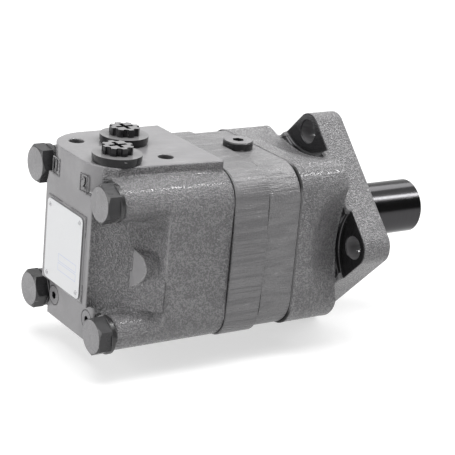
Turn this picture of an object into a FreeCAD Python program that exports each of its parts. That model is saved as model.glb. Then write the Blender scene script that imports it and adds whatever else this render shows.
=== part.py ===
import FreeCAD, Part
import math
import os

from FreeCAD import Vector

# Orbital hydraulic motor with a disc valve, in millimetres.
# The origin is the centre of the mounting flange's front face. +X runs out along the output shaft and
# +Z points at the ports.

# Sections of the stack, from the mounting face backwards
BEARING_HOUSING_LENGTH = 54.0
INTERMEDIATE_LENGTH = 21.5
GEROLER_WIDTH = 22.0
VALVE_HOUSING_LENGTH = 70.5
UPPER_REAR_STEP = 4.7
SEAM_CHAMFER = 0.6

# Square of the castings and the crowned sides of the geroler ring
BODY_HALF = 47.7
BODY_CORNER = 16.5
INTERMEDIATE_CORNER = 19.2
BEARING_HOUSING_CORNER = 15.5
GEROLER_CORNER = 14.0
GEROLER_CROWN = 1.6

# Cap screws through the stack
SCREW_EDGE_DISTANCE = 10.9
SCREW_PITCH_HALF = BODY_HALF - SCREW_EDGE_DISTANCE
SCREW_RADIUS = 6.0
SCREW_HOLE_CLEARANCE = 0.5
SCREW_ENGAGEMENT = 20.0
SCREW_HEAD_FLATS = 19.0
SCREW_HEAD_HEIGHT = 7.5
SCREW_HEAD_STAND_OUT = 6.7
SCREW_HEAD_BEVEL = 1.2
SCREW_FACE_INSET = 0.3
SCREW_TURNS = (0.0, -5.0, -25.0, -25.0)
WASHER_THICKNESS = 2.0
WASHER_RADIUS = 10.5
SCREW_SPOT_FACE_RADIUS = 12.4

# Seal rings between the sections, inside the screw holes
SEAL_RING_SECTION = 1.8
SEAL_RING_SQUEEZE = 0.3
SEAL_RING_WALL = 1.65
SCREW_HOLE_REACH = SCREW_PITCH_HALF * math.sqrt(2) - SCREW_RADIUS - SCREW_HOLE_CLEARANCE
SEAL_RING_OUTER = SCREW_HOLE_REACH - SEAL_RING_WALL
SEAL_RING_INNER = SEAL_RING_OUTER - SEAL_RING_SECTION

# Four-ear flange
FLANGE_PITCH_RADIUS = 53.2
FLANGE_HOLE_RADIUS = 6.75
EAR_RADIUS = 10.7
EAR_THICKNESS = 18.5
FLANGE_RIM_THICKNESS = 21.0
SCALLOP_OFFSET = 20.8
SCALLOP_RADIUS = 33.4
SCALLOP_DEPTH = FLANGE_RIM_THICKNESS - EAR_THICKNESS
SCOOP_OFFSET = 76.8
SCOOP_STEP = 0.4
SCOOP_LENGTH = 22.0
SCOOP_SAG = 2.3
PILOT_RADIUS = 41.25
PILOT_HEIGHT = 6.0
PILOT_CHAMFER = 1.0

# Output shaft and its key
SHAFT_RADIUS = 16.0
SHAFT_REACH = 63.0
SHAFT_TIP_CHAMFER = 1.5
SHAFT_REAR_CHAMFER = 0.6
SEAL_JOURNAL_RADIUS = SHAFT_RADIUS + 1.0
JOURNAL_TAPER = 1.0
BEARING_SEAT_RADIUS = SEAL_JOURNAL_RADIUS + 0.5
SHAFT_COLLAR_STEP = 4.0
SHAFT_COLLAR_LENGTH = 8.0
CENTRE_HOLE_RADIUS = 3.4
CENTRE_HOLE_DEPTH = 20.0
KEY_WIDTH = 10.0
KEY_HEIGHT = 8.0
KEY_DEPTH = 5.0
KEY_LENGTH = 45.0
KEY_SETBACK = 6.0

# Seals at the shaft's exit
DUST_SEAL_SECTION = 5.0
DUST_SEAL_RADIUS = SHAFT_RADIUS + DUST_SEAL_SECTION
DUST_SEAL_WIDTH = 3.5
DUST_SEAL_RECESS = 0.5
DUST_LIP_START = 0.7
DUST_LIP_END = 1.6
DUST_LIP_RISE = 1.45
SEAL_WALL = 1.5
SEAL_WALL_GAP = 1.5
SHAFT_SEAL_SECTION = 8.0
SHAFT_SEAL_RADIUS = SEAL_JOURNAL_RADIUS + SHAFT_SEAL_SECTION
SHAFT_SEAL_WIDTH = 7.0
SHAFT_LIP_HALF_WIDTH = 1.0
BACKUP_RING_WIDTH = 1.5
BACKUP_RING_GAP = 1.0
LIP_CLEARANCE = 0.05
SEAL_WALL_THICKNESS = 2.4

# Tapered roller bearings, worked out from the common apex of their cones
BEARING_SECTION = 13.5
BEARING_CUP_SECTION = 6.7
BEARING_OUTER_RADIUS = BEARING_SEAT_RADIUS + BEARING_SECTION
BEARING_MEAN_RADIUS = BEARING_OUTER_RADIUS - BEARING_CUP_SECTION
BEARING_CUP_WIDTH = 13.5
BEARING_CONE_SETBACK = 1.5
BEARING_WIDTH = 17.0
CONE_ANGLE = 11.0
CUP_ANGLE = 15.5
ROLLER_START = 2.4
ROLLER_END = 13.2
ROLLER_END_RELIEF = 0.3
ROLLERS_PER_BEARING = 14
ROLLER_CLEARANCE = 0.03
CONE_RIB_GAP = 1.2
CONE_RIB_HEIGHT = 1.95
CAGE_THICKNESS = 1.3
CAGE_LIFT = 0.9
CAGE_END_LAND = 1.4
CAGE_POCKET_CLEARANCE = 0.12
BEARING_STEP_LAND = 3.0
SHIM_WALL = 5.0

# Splines shared by the shaft, rotor, disc valve and both drive links
SPLINE_TEETH = 12
SPLINE_TIP_RADIUS = 10.4
SPLINE_ROOT_RADIUS = 8.5
SPLINE_RADIAL_CLEARANCE = 0.35
SPLINE_FLANK_CLEARANCE = 0.12
SPLINE_TOOTH_SHARE = 0.575
SPLINE_FLANK_LEAN = 0.28
SPLINE_CROWN = 0.75
LINK_HEAD_LENGTH = 12.0
LINK_NECK_LENGTH = 3.0
MAIN_LINK_WAIST = 7.6
VALVE_LINK_WAIST = 6.0
SHAFT_SPLINE_DEPTH = 7.0
SHAFT_SPLINE_LENGTH = 14.5
SHAFT_SPLINE_RUNOUT = 4.0
SOCKET_ENTRY_CLEARANCE = 0.7

# Geroler set: six lobes inside seven rollers
LOBES = 6
ROLLER_RADIUS = 6.75
ROLLER_WALL = 2.85
ROLLER_CIRCLE_RADIUS = SEAL_RING_INNER - ROLLER_WALL - ROLLER_RADIUS
ECCENTRICITY_SHARE = 0.08
ECCENTRICITY = ROLLER_CIRCLE_RADIUS * ECCENTRICITY_SHARE
ROTOR_CLEARANCE = 0.04
POCKET_CLEARANCE = 0.03
SIDE_CLEARANCE = 0.02
GEROLER_BORE_CLEARANCE = 0.45
PROFILE_POINTS_PER_LOBE = 20
SPACER_LENGTH = 2.4
SPACER_RADIUS = 6.5
LINK_END_GAP = 0.7

# Intermediate housing and its drain port
REAR_LAND_BORE = 15.5
REAR_LAND_WIDTH = 5.0
LINK_CAVITY_RADIUS = 24.0
DRAIN_POSITION = 12.8
DRAIN_HOLE_RADIUS = 6.55
DRAIN_HEAD_RADIUS = 8.5
DRAIN_HEAD_HEIGHT = 3.6
DRAIN_HEAD_CHAMFER = 0.6
DRAIN_WASHER_HEIGHT = 1.0
DRAIN_PLUG_DEPTH = 11.0
DRAIN_HEX_FLATS = 6.0
DRAIN_HEX_DEPTH = 5.0

# Valve housing casting
LUG_RADIUS = SCREW_EDGE_DISTANCE
POCKET_LENGTH = 30.0
CORE_REAR_INSET = 21.7
CORE_FRONT_INSET = 3.7
CORE_HALF_REAR = BODY_HALF - CORE_REAR_INSET
CORE_HALF_FRONT = BODY_HALF - CORE_FRONT_INSET
PORT_PAD_RISE = 5.7
PORT_PAD_SIDE_INSET = 12.5
PORT_PAD_HEIGHT = BODY_HALF + PORT_PAD_RISE
PORT_PAD_HALF = BODY_HALF - PORT_PAD_SIDE_INSET
PORT_PAD_SETBACK = 1.5
PORT_PAD_REAR_CORNER = 24.0
LOWER_FACE_TOP = -25.0
UPPER_BLOCK_BOTTOM = SCREW_PITCH_HALF
SIDE_BOSS_RADIUS = 11.0
SIDE_BOSS_REACH = 17.5
SIDE_BOSS_Z = 0.5
SIDE_BOSS_OFFSET = 5.0
SIDE_BOSS_SLANT_LENGTH = 9.0
SIDE_BOSS_SLANT_INSET = 2.5

# Ports and manifold holes in the pad
REAR_PORT_Y = -19.1
FRONT_PORT_Y = 11.1
REAR_PORT_DISTANCE = 58.4
FRONT_PORT_DISTANCE = 37.2
PORT_THREAD_RADIUS = 10.5
PORT_THREAD_DEPTH = 15.5
REAR_PASSAGE_RADIUS = 6.0
FRONT_PASSAGE_RADIUS = 4.0
FRONT_PASSAGE_OFFSET = 7.7
FRONT_PASSAGE_START = 2.0
FRONT_PASSAGE_LENGTH = 12.7
MANIFOLD_HALF_SPACING_Y = 20.0
MANIFOLD_HOLE_RADIUS = 4.25
MANIFOLD_HOLE_DEPTH = 17.0
MANIFOLD_REAR_DISTANCE = 61.5
MANIFOLD_FRONT_DISTANCE = 29.0

# Plastic port plugs
PLUG_COLLAR_RADIUS = 13.0
PLUG_COLLAR_HEIGHT = 1.4
PLUG_DISC_RADIUS = 13.4
PLUG_DISC_HEIGHT = 3.1
PLUG_GRIP_RADIUS = 8.3
PLUG_GRIP_HEIGHT = 4.3
PLUG_GRIP_LOBES = 8
PLUG_GRIP_FLUTE = 1.7
PLUG_CROSS_WIDTH = 2.4
PLUG_CROSS_REACH = 5.2
PLUG_CROSS_DEPTH = 3.2
PLUG_STEM_LENGTH = 10.0
PLUG_STEM_WALL = 1.6
PLUG_CLEARANCE = 0.1

# Disc valve, channel plate and balance plate
CHANNEL_PLATE_WALL = 3.1
CHANNEL_PLATE_RADIUS = SEAL_RING_INNER - CHANNEL_PLATE_WALL
CHANNEL_PLATE_THICKNESS = 12.0
CHANNEL_PLATE_CLEARANCE = 0.05
CHANNEL_BORE = 14.5
CHANNEL_PORT_INSET = 4.5
CHANNEL_PORT_CIRCLE = ROLLER_CIRCLE_RADIUS - CHANNEL_PORT_INSET
CHANNEL_PORT_RADIUS = 2.9
DOWEL_RADIUS = 1.4
DOWEL_EDGE_DISTANCE = 2.0
DOWEL_CIRCLE = CHANNEL_PLATE_RADIUS - DOWEL_EDGE_DISTANCE
DOWEL_LENGTH = 8.0
DISC_VALVE_MARGIN = 6.0
DISC_VALVE_RADIUS = CHANNEL_PLATE_RADIUS - DISC_VALVE_MARGIN
DISC_VALVE_THICKNESS = 17.0
DISC_VALVE_HUB_RADIUS = 16.5
DISC_VALVE_HUB_LENGTH = 5.0
VALVE_SLOT_WIDTH = 5.2
VALVE_SLOT_DEPTH = 6.0
VALVE_PORT_RADIUS = 2.7
VALVE_FACE_CLEARANCE = 0.03
CHANNEL_PLATE_SEAT = 4.0
OUTER_ANNULUS_RADIUS = CHANNEL_PLATE_RADIUS - CHANNEL_PLATE_SEAT
BALANCE_PLATE_THICKNESS = 7.0
BALANCE_PLATE_MARGIN = 0.5
BALANCE_PLATE_RADIUS = DISC_VALVE_RADIUS - BALANCE_PLATE_MARGIN
BALANCE_BORE_GAP = 1.0
BALANCE_PLATE_BORE = DISC_VALVE_HUB_RADIUS + BALANCE_BORE_GAP
BALANCE_PORT_INSET = 1.25
BALANCE_PORT_CIRCLE = CHANNEL_PORT_CIRCLE - BALANCE_PORT_INSET
BALANCE_GROOVE_HALF = 3.0
BALANCE_GROOVE_DEPTH = 2.0
BALANCE_DRILL_COUNT = 3
BALANCE_DRILL_INSET = 1.4
BALANCE_DRILL_RADIUS = 1.8
BALANCE_SEAL_SECTION = 1.6
BALANCE_FIT = 0.05
BALANCE_SPRING_SPACE = 2.0
BALANCE_SPRING_THICKNESS = 0.9
BALANCE_SPRING_CLEARANCE = 0.4
BALANCE_PLATE_SEAT = 8.5
REAR_CHAMBER_RADIUS = BALANCE_PLATE_RADIUS - BALANCE_PLATE_SEAT
REAR_CHAMBER_LENGTH = 26.5
BALANCE_PIN_RADIUS = 1.5
BALANCE_PIN_LENGTH = 9.0

# Check valves in the lower rear face
CHECK_SCREW_DISTANCE = 17.8
CHECK_BOTTOM_DISTANCE = 12.7
CHECK_HALF_SPACING = SCREW_PITCH_HALF - CHECK_SCREW_DISTANCE
CHECK_Z = CHECK_BOTTOM_DISTANCE - BODY_HALF
CHECK_PLUG_RADIUS = 5.2
CHECK_PLUG_LENGTH = 9.0
CHECK_PLUG_NOSE_RADIUS = 2.0
CHECK_PLUG_NOSE_LENGTH = 4.0
CHECK_PLUG_HEX_FLATS = 4.0
CHECK_PLUG_HEX_DEPTH = 4.0
CHECK_CHAMBER_RADIUS = 4.2
CHECK_BALL_RADIUS = 3.2
CHECK_BALL_TRAVEL = 1.2
CHECK_SEAT_RADIUS = 2.2
CHECK_SEAT_CLEARANCE = 0.03

# Nameplate
NAMEPLATE_SIDE_MARGIN = 6.0
NAMEPLATE_HALF_WIDTH = CORE_HALF_REAR - NAMEPLATE_SIDE_MARGIN
NAMEPLATE_BOTTOM = -22.5
NAMEPLATE_TOP = 23.3
NAMEPLATE_THICKNESS = 0.8
NAMEPLATE_CORNER = 3.0
NAMEPLATE_PAD_MARGIN = 1.2
NAMEPLATE_PAD_HEIGHT = 0.9
DRIVE_SCREW_INSET = 3.2
DRIVE_SCREW_HEAD_RADIUS = 1.3
DRIVE_SCREW_CROWN_RADIUS = 0.8
DRIVE_SCREW_HEAD_HEIGHT = 0.7
DRIVE_SCREW_SHANK_RADIUS = 0.8
DRIVE_SCREW_SHANK_LENGTH = 4.0

# How far a drill or cutter runs past the surface that it breaks through
CUTTER_OVERRUN = 1.0

# Stations along X, worked out from the lengths above
X_FLANGE = 0.0
X_PILOT = X_FLANGE + PILOT_HEIGHT
X_BEARING_REAR = X_FLANGE - BEARING_HOUSING_LENGTH
X_INTERMEDIATE_REAR = X_BEARING_REAR - INTERMEDIATE_LENGTH
X_GEROLER_REAR = X_INTERMEDIATE_REAR - GEROLER_WIDTH
X_LOWER_REAR = X_GEROLER_REAR - VALVE_HOUSING_LENGTH
X_UPPER_REAR = X_LOWER_REAR - UPPER_REAR_STEP
X_PLATE_PAD = X_UPPER_REAR - NAMEPLATE_PAD_HEIGHT
X_PLATE_FACE = X_PLATE_PAD - NAMEPLATE_THICKNESS
X_POCKET_STEP = X_LOWER_REAR + POCKET_LENGTH
X_HEAD_FACE = X_LOWER_REAR - SCREW_HEAD_STAND_OUT
X_WASHER_REAR = X_HEAD_FACE + SCREW_HEAD_HEIGHT
X_LUG_FACE = X_WASHER_REAR + WASHER_THICKNESS
X_SCREW_TIP = X_BEARING_REAR + SCREW_ENGAGEMENT

X_DUST_SEAL_FRONT = X_PILOT - DUST_SEAL_RECESS
X_DUST_SEAL_REAR = X_DUST_SEAL_FRONT - DUST_SEAL_WIDTH
X_SHAFT_SEAL_FRONT = X_DUST_SEAL_REAR - SEAL_WALL
X_SHAFT_SEAL_REAR = X_SHAFT_SEAL_FRONT - SHAFT_SEAL_WIDTH
X_BACKUP_REAR = X_SHAFT_SEAL_REAR - BACKUP_RING_WIDTH
X_FRONT_CUP = X_BACKUP_REAR - BEARING_STEP_LAND
X_COLLAR_FRONT = X_FRONT_CUP - BEARING_WIDTH
X_COLLAR_REAR = X_COLLAR_FRONT - SHAFT_COLLAR_LENGTH
X_REAR_CUP = X_COLLAR_REAR - BEARING_WIDTH

X_GEROLER_MIDDLE = X_INTERMEDIATE_REAR - GEROLER_WIDTH / 2
X_SPACER_FRONT = X_GEROLER_MIDDLE + SPACER_LENGTH / 2
X_SPACER_REAR = X_GEROLER_MIDDLE - SPACER_LENGTH / 2
X_MAIN_REAR_HEAD = X_SPACER_FRONT + LINK_END_GAP + LINK_HEAD_LENGTH / 2
X_VALVE_FRONT_HEAD = X_SPACER_REAR - LINK_END_GAP - LINK_HEAD_LENGTH / 2
X_SHAFT_REAR = X_REAR_CUP - BEARING_CONE_SETBACK / 2
X_SHAFT_SPLINE_REAR = X_SHAFT_REAR + SHAFT_SPLINE_DEPTH
X_SHAFT_SPLINE_FRONT = X_SHAFT_SPLINE_REAR + SHAFT_SPLINE_LENGTH
X_MAIN_FRONT_HEAD = (X_SHAFT_SPLINE_REAR + X_SHAFT_SPLINE_FRONT) / 2

X_CHANNEL_REAR = X_GEROLER_REAR - CHANNEL_PLATE_THICKNESS
X_DISC_FRONT = X_CHANNEL_REAR - VALVE_FACE_CLEARANCE
X_DISC_REAR = X_DISC_FRONT - DISC_VALVE_THICKNESS
X_HUB_REAR = X_DISC_REAR - DISC_VALVE_HUB_LENGTH
X_BALANCE_FRONT = X_DISC_REAR - VALVE_FACE_CLEARANCE
X_BALANCE_REAR = X_BALANCE_FRONT - BALANCE_PLATE_THICKNESS
X_BALANCE_FLOOR = X_BALANCE_REAR - BALANCE_SPRING_SPACE
X_CHAMBER_REAR = X_BALANCE_FLOOR - REAR_CHAMBER_LENGTH
X_VALVE_REAR_HEAD = X_HUB_REAR + LINK_HEAD_LENGTH / 2 + LINK_END_GAP

X_REAR_PORT = X_GEROLER_REAR - REAR_PORT_DISTANCE
X_FRONT_PORT = X_GEROLER_REAR - FRONT_PORT_DISTANCE
X_REAR_MANIFOLD = X_GEROLER_REAR - MANIFOLD_REAR_DISTANCE
X_FRONT_MANIFOLD = X_GEROLER_REAR - MANIFOLD_FRONT_DISTANCE
X_DRAIN = X_BEARING_REAR - DRAIN_POSITION

X_CHECK_PLUG_FRONT = X_LOWER_REAR + CHECK_PLUG_LENGTH
X_CHECK_NOSE = X_CHECK_PLUG_FRONT + CHECK_PLUG_NOSE_LENGTH
X_CHECK_BALL = X_CHECK_NOSE + CHECK_BALL_TRAVEL + CHECK_BALL_RADIUS + CHECK_SEAT_CLEARANCE
SIDES = (-SCREW_PITCH_HALF, SCREW_PITCH_HALF)
CORNERS = [(y, z) for y in SIDES for z in SIDES]
AXIS_X = Vector(1, 0, 0)
AXIS_Y = Vector(0, 1, 0)
AXIS_Z = Vector(0, 0, 1)
ORIGIN = Vector(0, 0, 0)


def on_circle(radius, turn):
    """Point (y, z) on a circle about the shaft, turn degrees from +Y towards +Z."""
    a = math.radians(turn)
    return radius * math.cos(a), radius * math.sin(a)


def rod(x0, x1, radius, y=0.0, z=0.0):
    """Cylinder along X between two stations."""
    low, high = min(x0, x1), max(x0, x1)
    return Part.makeCylinder(radius, high - low, Vector(low, y, z), AXIS_X)


def ring(x0, x1, outer, inner, y=0.0, z=0.0):
    """Tube along X between two stations."""
    return rod(x0, x1, outer, y, z).cut(rod(x0, x1, inner, y, z))


def post(x, y, z0, z1, radius):
    """Cylinder along Z between two heights."""
    return Part.makeCylinder(radius, z1 - z0, Vector(x, y, z0), AXIS_Z)


def block(x0, x1, y0, y1, z0, z1):
    return Part.makeBox(x1 - x0, y1 - y0, z1 - z0, Vector(x0, y0, z0))


def turned(profile):
    """Solid turned about the X axis from (x, radius) corners."""
    corners = [Vector(x, 0, r) for x, r in profile]
    face = Part.Face(Part.makePolygon(corners + corners[:1]))
    return face.revolve(ORIGIN, AXIS_X, 360)


def rounded_outline(x, half_y, half_z, corner):
    """Closed wire of a rounded rectangle in the plane at x."""
    y, z, r = half_y - corner, half_z - corner, corner
    edges = []
    for i, (sy, sz) in enumerate(((1, 1), (-1, 1), (-1, -1), (1, -1))):
        centre = Vector(x, sy * y, sz * z)
        start = math.radians(90 * i)
        points = [centre + Vector(0, r * math.cos(a), r * math.sin(a))
                  for a in (start, start + math.pi / 4, start + math.pi / 2)]
        if edges:
            edges.append(Part.LineSegment(edges[-1].Vertexes[-1].Point, points[0]).toShape())
        edges.append(Part.Arc(*points).toShape())
    edges.append(Part.LineSegment(edges[-1].Vertexes[-1].Point, edges[0].Vertexes[0].Point).toShape())
    return Part.Wire(edges)


def rounded_block(x0, x1, half_y, half_z, corner):
    face = Part.Face(rounded_outline(x0, half_y, half_z, corner))
    return face.extrude(Vector(x1 - x0, 0, 0))


def chamfer_ends(solid):
    """Small chamfer round both ends of a slice of the stack."""
    ends = [e for e in solid.Edges if abs(e.BoundBox.XMax - e.BoundBox.XMin) < 1e-6]
    return solid.makeChamfer(SEAM_CHAMFER, ends)


def crowned_outline(x, half, corner, crown):
    """Closed wire of a square with round corners, whose sides bulge by crown in the middle."""
    inner = half - corner
    lean = 2 * math.atan(crown / inner)
    quarter = math.pi / 2
    corners = []
    for i, (sy, sz) in enumerate(((1, 1), (-1, 1), (-1, -1), (1, -1))):
        centre = Vector(x, sy * inner, sz * inner)
        start = quarter * i
        corners.append([centre + Vector(0, corner * math.cos(a), corner * math.sin(a))
                        for a in (start + lean, start + quarter / 2, start + quarter - lean)])
    edges = []
    for i, points in enumerate(corners):
        side = quarter * (i + 1)
        middle = Vector(x, (half + crown) * math.cos(side), (half + crown) * math.sin(side))
        edges.append(Part.Arc(*points).toShape())
        edges.append(Part.Arc(points[2], middle, corners[(i + 1) % 4][0]).toShape())
    return Part.Wire(edges)


def hexagon(x, flats, y=0.0, z=0.0, turn=0.0):
    """Closed hexagon in the plane at x, with flats facing +Y and -Y when turn is 0."""
    radius = flats / math.sqrt(3)
    corners = []
    for i in range(6):
        a = math.radians(60 * i + 30 + turn)
        corners.append(Vector(x, y + radius * math.cos(a), z + radius * math.sin(a)))
    return Part.makePolygon(corners + corners[:1])


def hex_rod(x0, x1, flats, y=0.0, z=0.0, turn=0.0):
    return Part.Face(hexagon(x0, flats, y, z, turn)).extrude(Vector(x1 - x0, 0, 0))


def screw_holes(x0, x1, radius):
    return Part.makeCompound([rod(x0, x1, radius, y, z) for y, z in CORNERS])


def seal_groove(x_face, direction):
    """Groove for a seal ring, cut into the face at x_face."""
    depth = (SEAL_RING_SECTION - SEAL_RING_SQUEEZE) * direction
    return ring(x_face, x_face + depth, SEAL_RING_OUTER, SEAL_RING_INNER)


def seal_ring(x_face, direction):
    """Seal ring squeezed flush with the face that it is let into."""
    depth = (SEAL_RING_SECTION - SEAL_RING_SQUEEZE) * direction
    return ring(x_face, x_face + depth, SEAL_RING_OUTER - LIP_CLEARANCE, SEAL_RING_INNER + LIP_CLEARANCE)


def toothed_outline(x, root, tip, tooth_half_angle, flank_slope):
    """Closed outline of straight-sided teeth, tooth_half_angle wide at the root."""
    corners = []
    pitch = 2 * math.pi / SPLINE_TEETH
    for i in range(SPLINE_TEETH):
        middle = i * pitch
        for radius, angle in ((root, -tooth_half_angle), (tip, -tooth_half_angle + flank_slope),
                              (tip, tooth_half_angle - flank_slope), (root, tooth_half_angle)):
            a = middle + angle
            corners.append(Vector(x, radius * math.cos(a), radius * math.sin(a)))
    return Part.makePolygon(corners + corners[:1])


TOOTH_HALF_ANGLE = SPLINE_TOOTH_SHARE * math.pi / SPLINE_TEETH
FLANK_SLOPE = SPLINE_FLANK_LEAN * TOOTH_HALF_ANGLE


def spline_socket(x0, x1):
    """Tool that cuts the internal spline between two stations."""
    gap = SPLINE_FLANK_CLEARANCE / SPLINE_ROOT_RADIUS
    root = SPLINE_ROOT_RADIUS + SPLINE_RADIAL_CLEARANCE
    tip = SPLINE_TIP_RADIUS + SPLINE_RADIAL_CLEARANCE
    wire = toothed_outline(x0, root, tip, TOOTH_HALF_ANGLE + gap, FLANK_SLOPE)
    return Part.Face(wire).extrude(Vector(x1 - x0, 0, 0))


def crowned_head(x_middle):
    """Crowned external spline, full in the middle and narrower at both ends."""
    narrow = SPLINE_CROWN / SPLINE_ROOT_RADIUS
    half = LINK_HEAD_LENGTH / 2
    wires = []
    for offset, drop, thin in ((-half, SPLINE_CROWN, narrow), (0.0, 0.0, 0.0), (half, SPLINE_CROWN, narrow)):
        wires.append(toothed_outline(x_middle + offset, SPLINE_ROOT_RADIUS - drop, SPLINE_TIP_RADIUS - drop,
                                     TOOTH_HALF_ANGLE - thin, FLANK_SLOPE))
    front = Part.makeLoft(wires[:2], True, True)
    rear = Part.makeLoft(wires[1:], True, True)
    return front.fuse(rear).removeSplitter()


def drive_link(x_fixed, x_orbiting, waist):
    """Link with a crowned head at each end, tilted from the main axis out to the rotor's centre."""
    low, high = min(x_fixed, x_orbiting), max(x_fixed, x_orbiting)
    span = math.hypot(high - low, ECCENTRICITY)
    low_head = crowned_head(-span / 2)
    high_head = crowned_head(span / 2)
    bar_half = span / 2 - LINK_HEAD_LENGTH / 2
    waist_half = bar_half - LINK_NECK_LENGTH
    neck = SPLINE_ROOT_RADIUS - SPLINE_CROWN
    bar = turned([(-bar_half, 0), (-bar_half, neck), (-waist_half, waist),
                  (waist_half, waist), (bar_half, neck), (bar_half, 0)])
    link = low_head.fuse([bar, high_head]).removeSplitter()
    slope = math.degrees(math.atan2(ECCENTRICITY, high - low))
    tilt = slope if x_orbiting > x_fixed else -slope
    link.rotate(ORIGIN, AXIS_Z, tilt)
    link.translate(Vector((x_fixed + x_orbiting) / 2, ECCENTRICITY / 2, 0))
    return link


def rotor_profile(x, shift):
    """Closed curve of the rotor: the path of a roller's centre seen from the rotor, set in by shift."""
    count = LOBES * PROFILE_POINTS_PER_LOBE
    rollers = LOBES + 1
    points = []
    for i in range(count):
        t = 2 * math.pi * i / count
        cx = ROLLER_CIRCLE_RADIUS * math.cos(t) - ECCENTRICITY * math.cos(rollers * t)
        cy = ROLLER_CIRCLE_RADIUS * math.sin(t) - ECCENTRICITY * math.sin(rollers * t)
        dx = -ROLLER_CIRCLE_RADIUS * math.sin(t) + rollers * ECCENTRICITY * math.sin(rollers * t)
        dy = ROLLER_CIRCLE_RADIUS * math.cos(t) - rollers * ECCENTRICITY * math.cos(rollers * t)
        length = math.hypot(dx, dy)
        points.append(Vector(x, ECCENTRICITY + cx - shift * dy / length, cy + shift * dx / length))
    curve = Part.BSplineCurve()
    curve.interpolate(points, PeriodicFlag=True)
    return Part.Wire([curve.toShape()])


def geroler_rotor():
    x0 = X_GEROLER_REAR + SIDE_CLEARANCE
    x1 = X_INTERMEDIATE_REAR - SIDE_CLEARANCE
    body = Part.Face(rotor_profile(x0, ROLLER_RADIUS + ROTOR_CLEARANCE)).extrude(Vector(x1 - x0, 0, 0))
    socket = spline_socket(x0, x1)
    socket.translate(Vector(0, ECCENTRICITY, 0))
    return body.cut(socket)


def roller_centre(index):
    return on_circle(ROLLER_CIRCLE_RADIUS, 360 * index / (LOBES + 1))


def geroler_roller(index):
    y, z = roller_centre(index)
    return rod(X_GEROLER_REAR + SIDE_CLEARANCE, X_INTERMEDIATE_REAR - SIDE_CLEARANCE, ROLLER_RADIUS, y, z)


def geroler_ring():
    outline = crowned_outline(X_GEROLER_REAR, BODY_HALF, GEROLER_CORNER, GEROLER_CROWN)
    body = chamfer_ends(Part.Face(outline).extrude(Vector(GEROLER_WIDTH, 0, 0)))
    lobe_reach = ROLLER_CIRCLE_RADIUS + 2 * ECCENTRICITY - ROLLER_RADIUS
    cuts = [rod(X_GEROLER_REAR, X_INTERMEDIATE_REAR, lobe_reach + GEROLER_BORE_CLEARANCE)]
    for i in range(LOBES + 1):
        y, z = roller_centre(i)
        cuts.append(rod(X_GEROLER_REAR, X_INTERMEDIATE_REAR, ROLLER_RADIUS + POCKET_CLEARANCE, y, z))
    cuts.append(screw_holes(X_GEROLER_REAR, X_INTERMEDIATE_REAR, SCREW_RADIUS + SCREW_HOLE_CLEARANCE))
    return body.cut(cuts)


def drive_spacer():
    return rod(X_SPACER_REAR, X_SPACER_FRONT, SPACER_RADIUS, ECCENTRICITY, 0)


EAR_TURNS = (0, 90, 180, 270)


def flange_diamond(x_back):
    """Four ears joined by straight edges, from x_back to the mounting face."""
    ears = []
    corners = []
    for turn in EAR_TURNS:
        y, z = on_circle(FLANGE_PITCH_RADIUS, turn)
        ears.append(rod(x_back, X_FLANGE, EAR_RADIUS, y, z))
        for side in (-45, 45):
            dy, dz = on_circle(EAR_RADIUS, turn + side)
            corners.append(Vector(x_back, y + dy, z + dz))
    web = Part.Face(Part.makePolygon(corners + corners[:1])).extrude(Vector(X_FLANGE - x_back, 0, 0))
    return web.fuse(ears).removeSplitter()


def flange_plate():
    """Plate with four ears, thicker where it meets the square body."""
    square = rounded_block(-FLANGE_RIM_THICKNESS, X_FLANGE, BODY_HALF, BODY_HALF, BEARING_HOUSING_CORNER)
    middle = flange_diamond(-FLANGE_RIM_THICKNESS).common(square)
    return flange_diamond(-EAR_THICKNESS).fuse(middle)


def ear_scoop(x, front, rear):
    """Round cutter with a bulging side, which leaves a hollow dish in the casting."""
    x_rear = x - SCOOP_LENGTH
    side = Part.Arc(Vector(x, front, 0), Vector((x + x_rear) / 2, (front + rear) / 2 + SCOOP_SAG, 0),
                    Vector(x_rear, rear, 0)).toShape()
    base = Part.makePolygon([Vector(x_rear, rear, 0), Vector(x_rear, 0, 0), Vector(x, 0, 0),
                             Vector(x, front, 0)])
    return Part.Face(Part.Wire([side] + base.Edges)).revolve(Vector(0, 0, 0), AXIS_X, 360)


def ear_scallop(turn):
    """Machined arc behind an ear and the cast scoop behind that, which leave room for the mounting bolt."""
    x_scoop = -EAR_THICKNESS - SCALLOP_DEPTH
    y, z = on_circle(FLANGE_PITCH_RADIUS + SCALLOP_OFFSET, turn)
    arc = rod(x_scoop, -EAR_THICKNESS, SCALLOP_RADIUS, y, z)
    floor = FLANGE_PITCH_RADIUS + SCALLOP_OFFSET - SCALLOP_RADIUS + SCOOP_STEP
    centre = FLANGE_PITCH_RADIUS + SCOOP_OFFSET
    scoop = ear_scoop(x_scoop, centre - floor, centre - BODY_HALF)
    y, z = on_circle(centre, turn)
    scoop.translate(Vector(0, y, z))
    return [arc, scoop]


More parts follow.
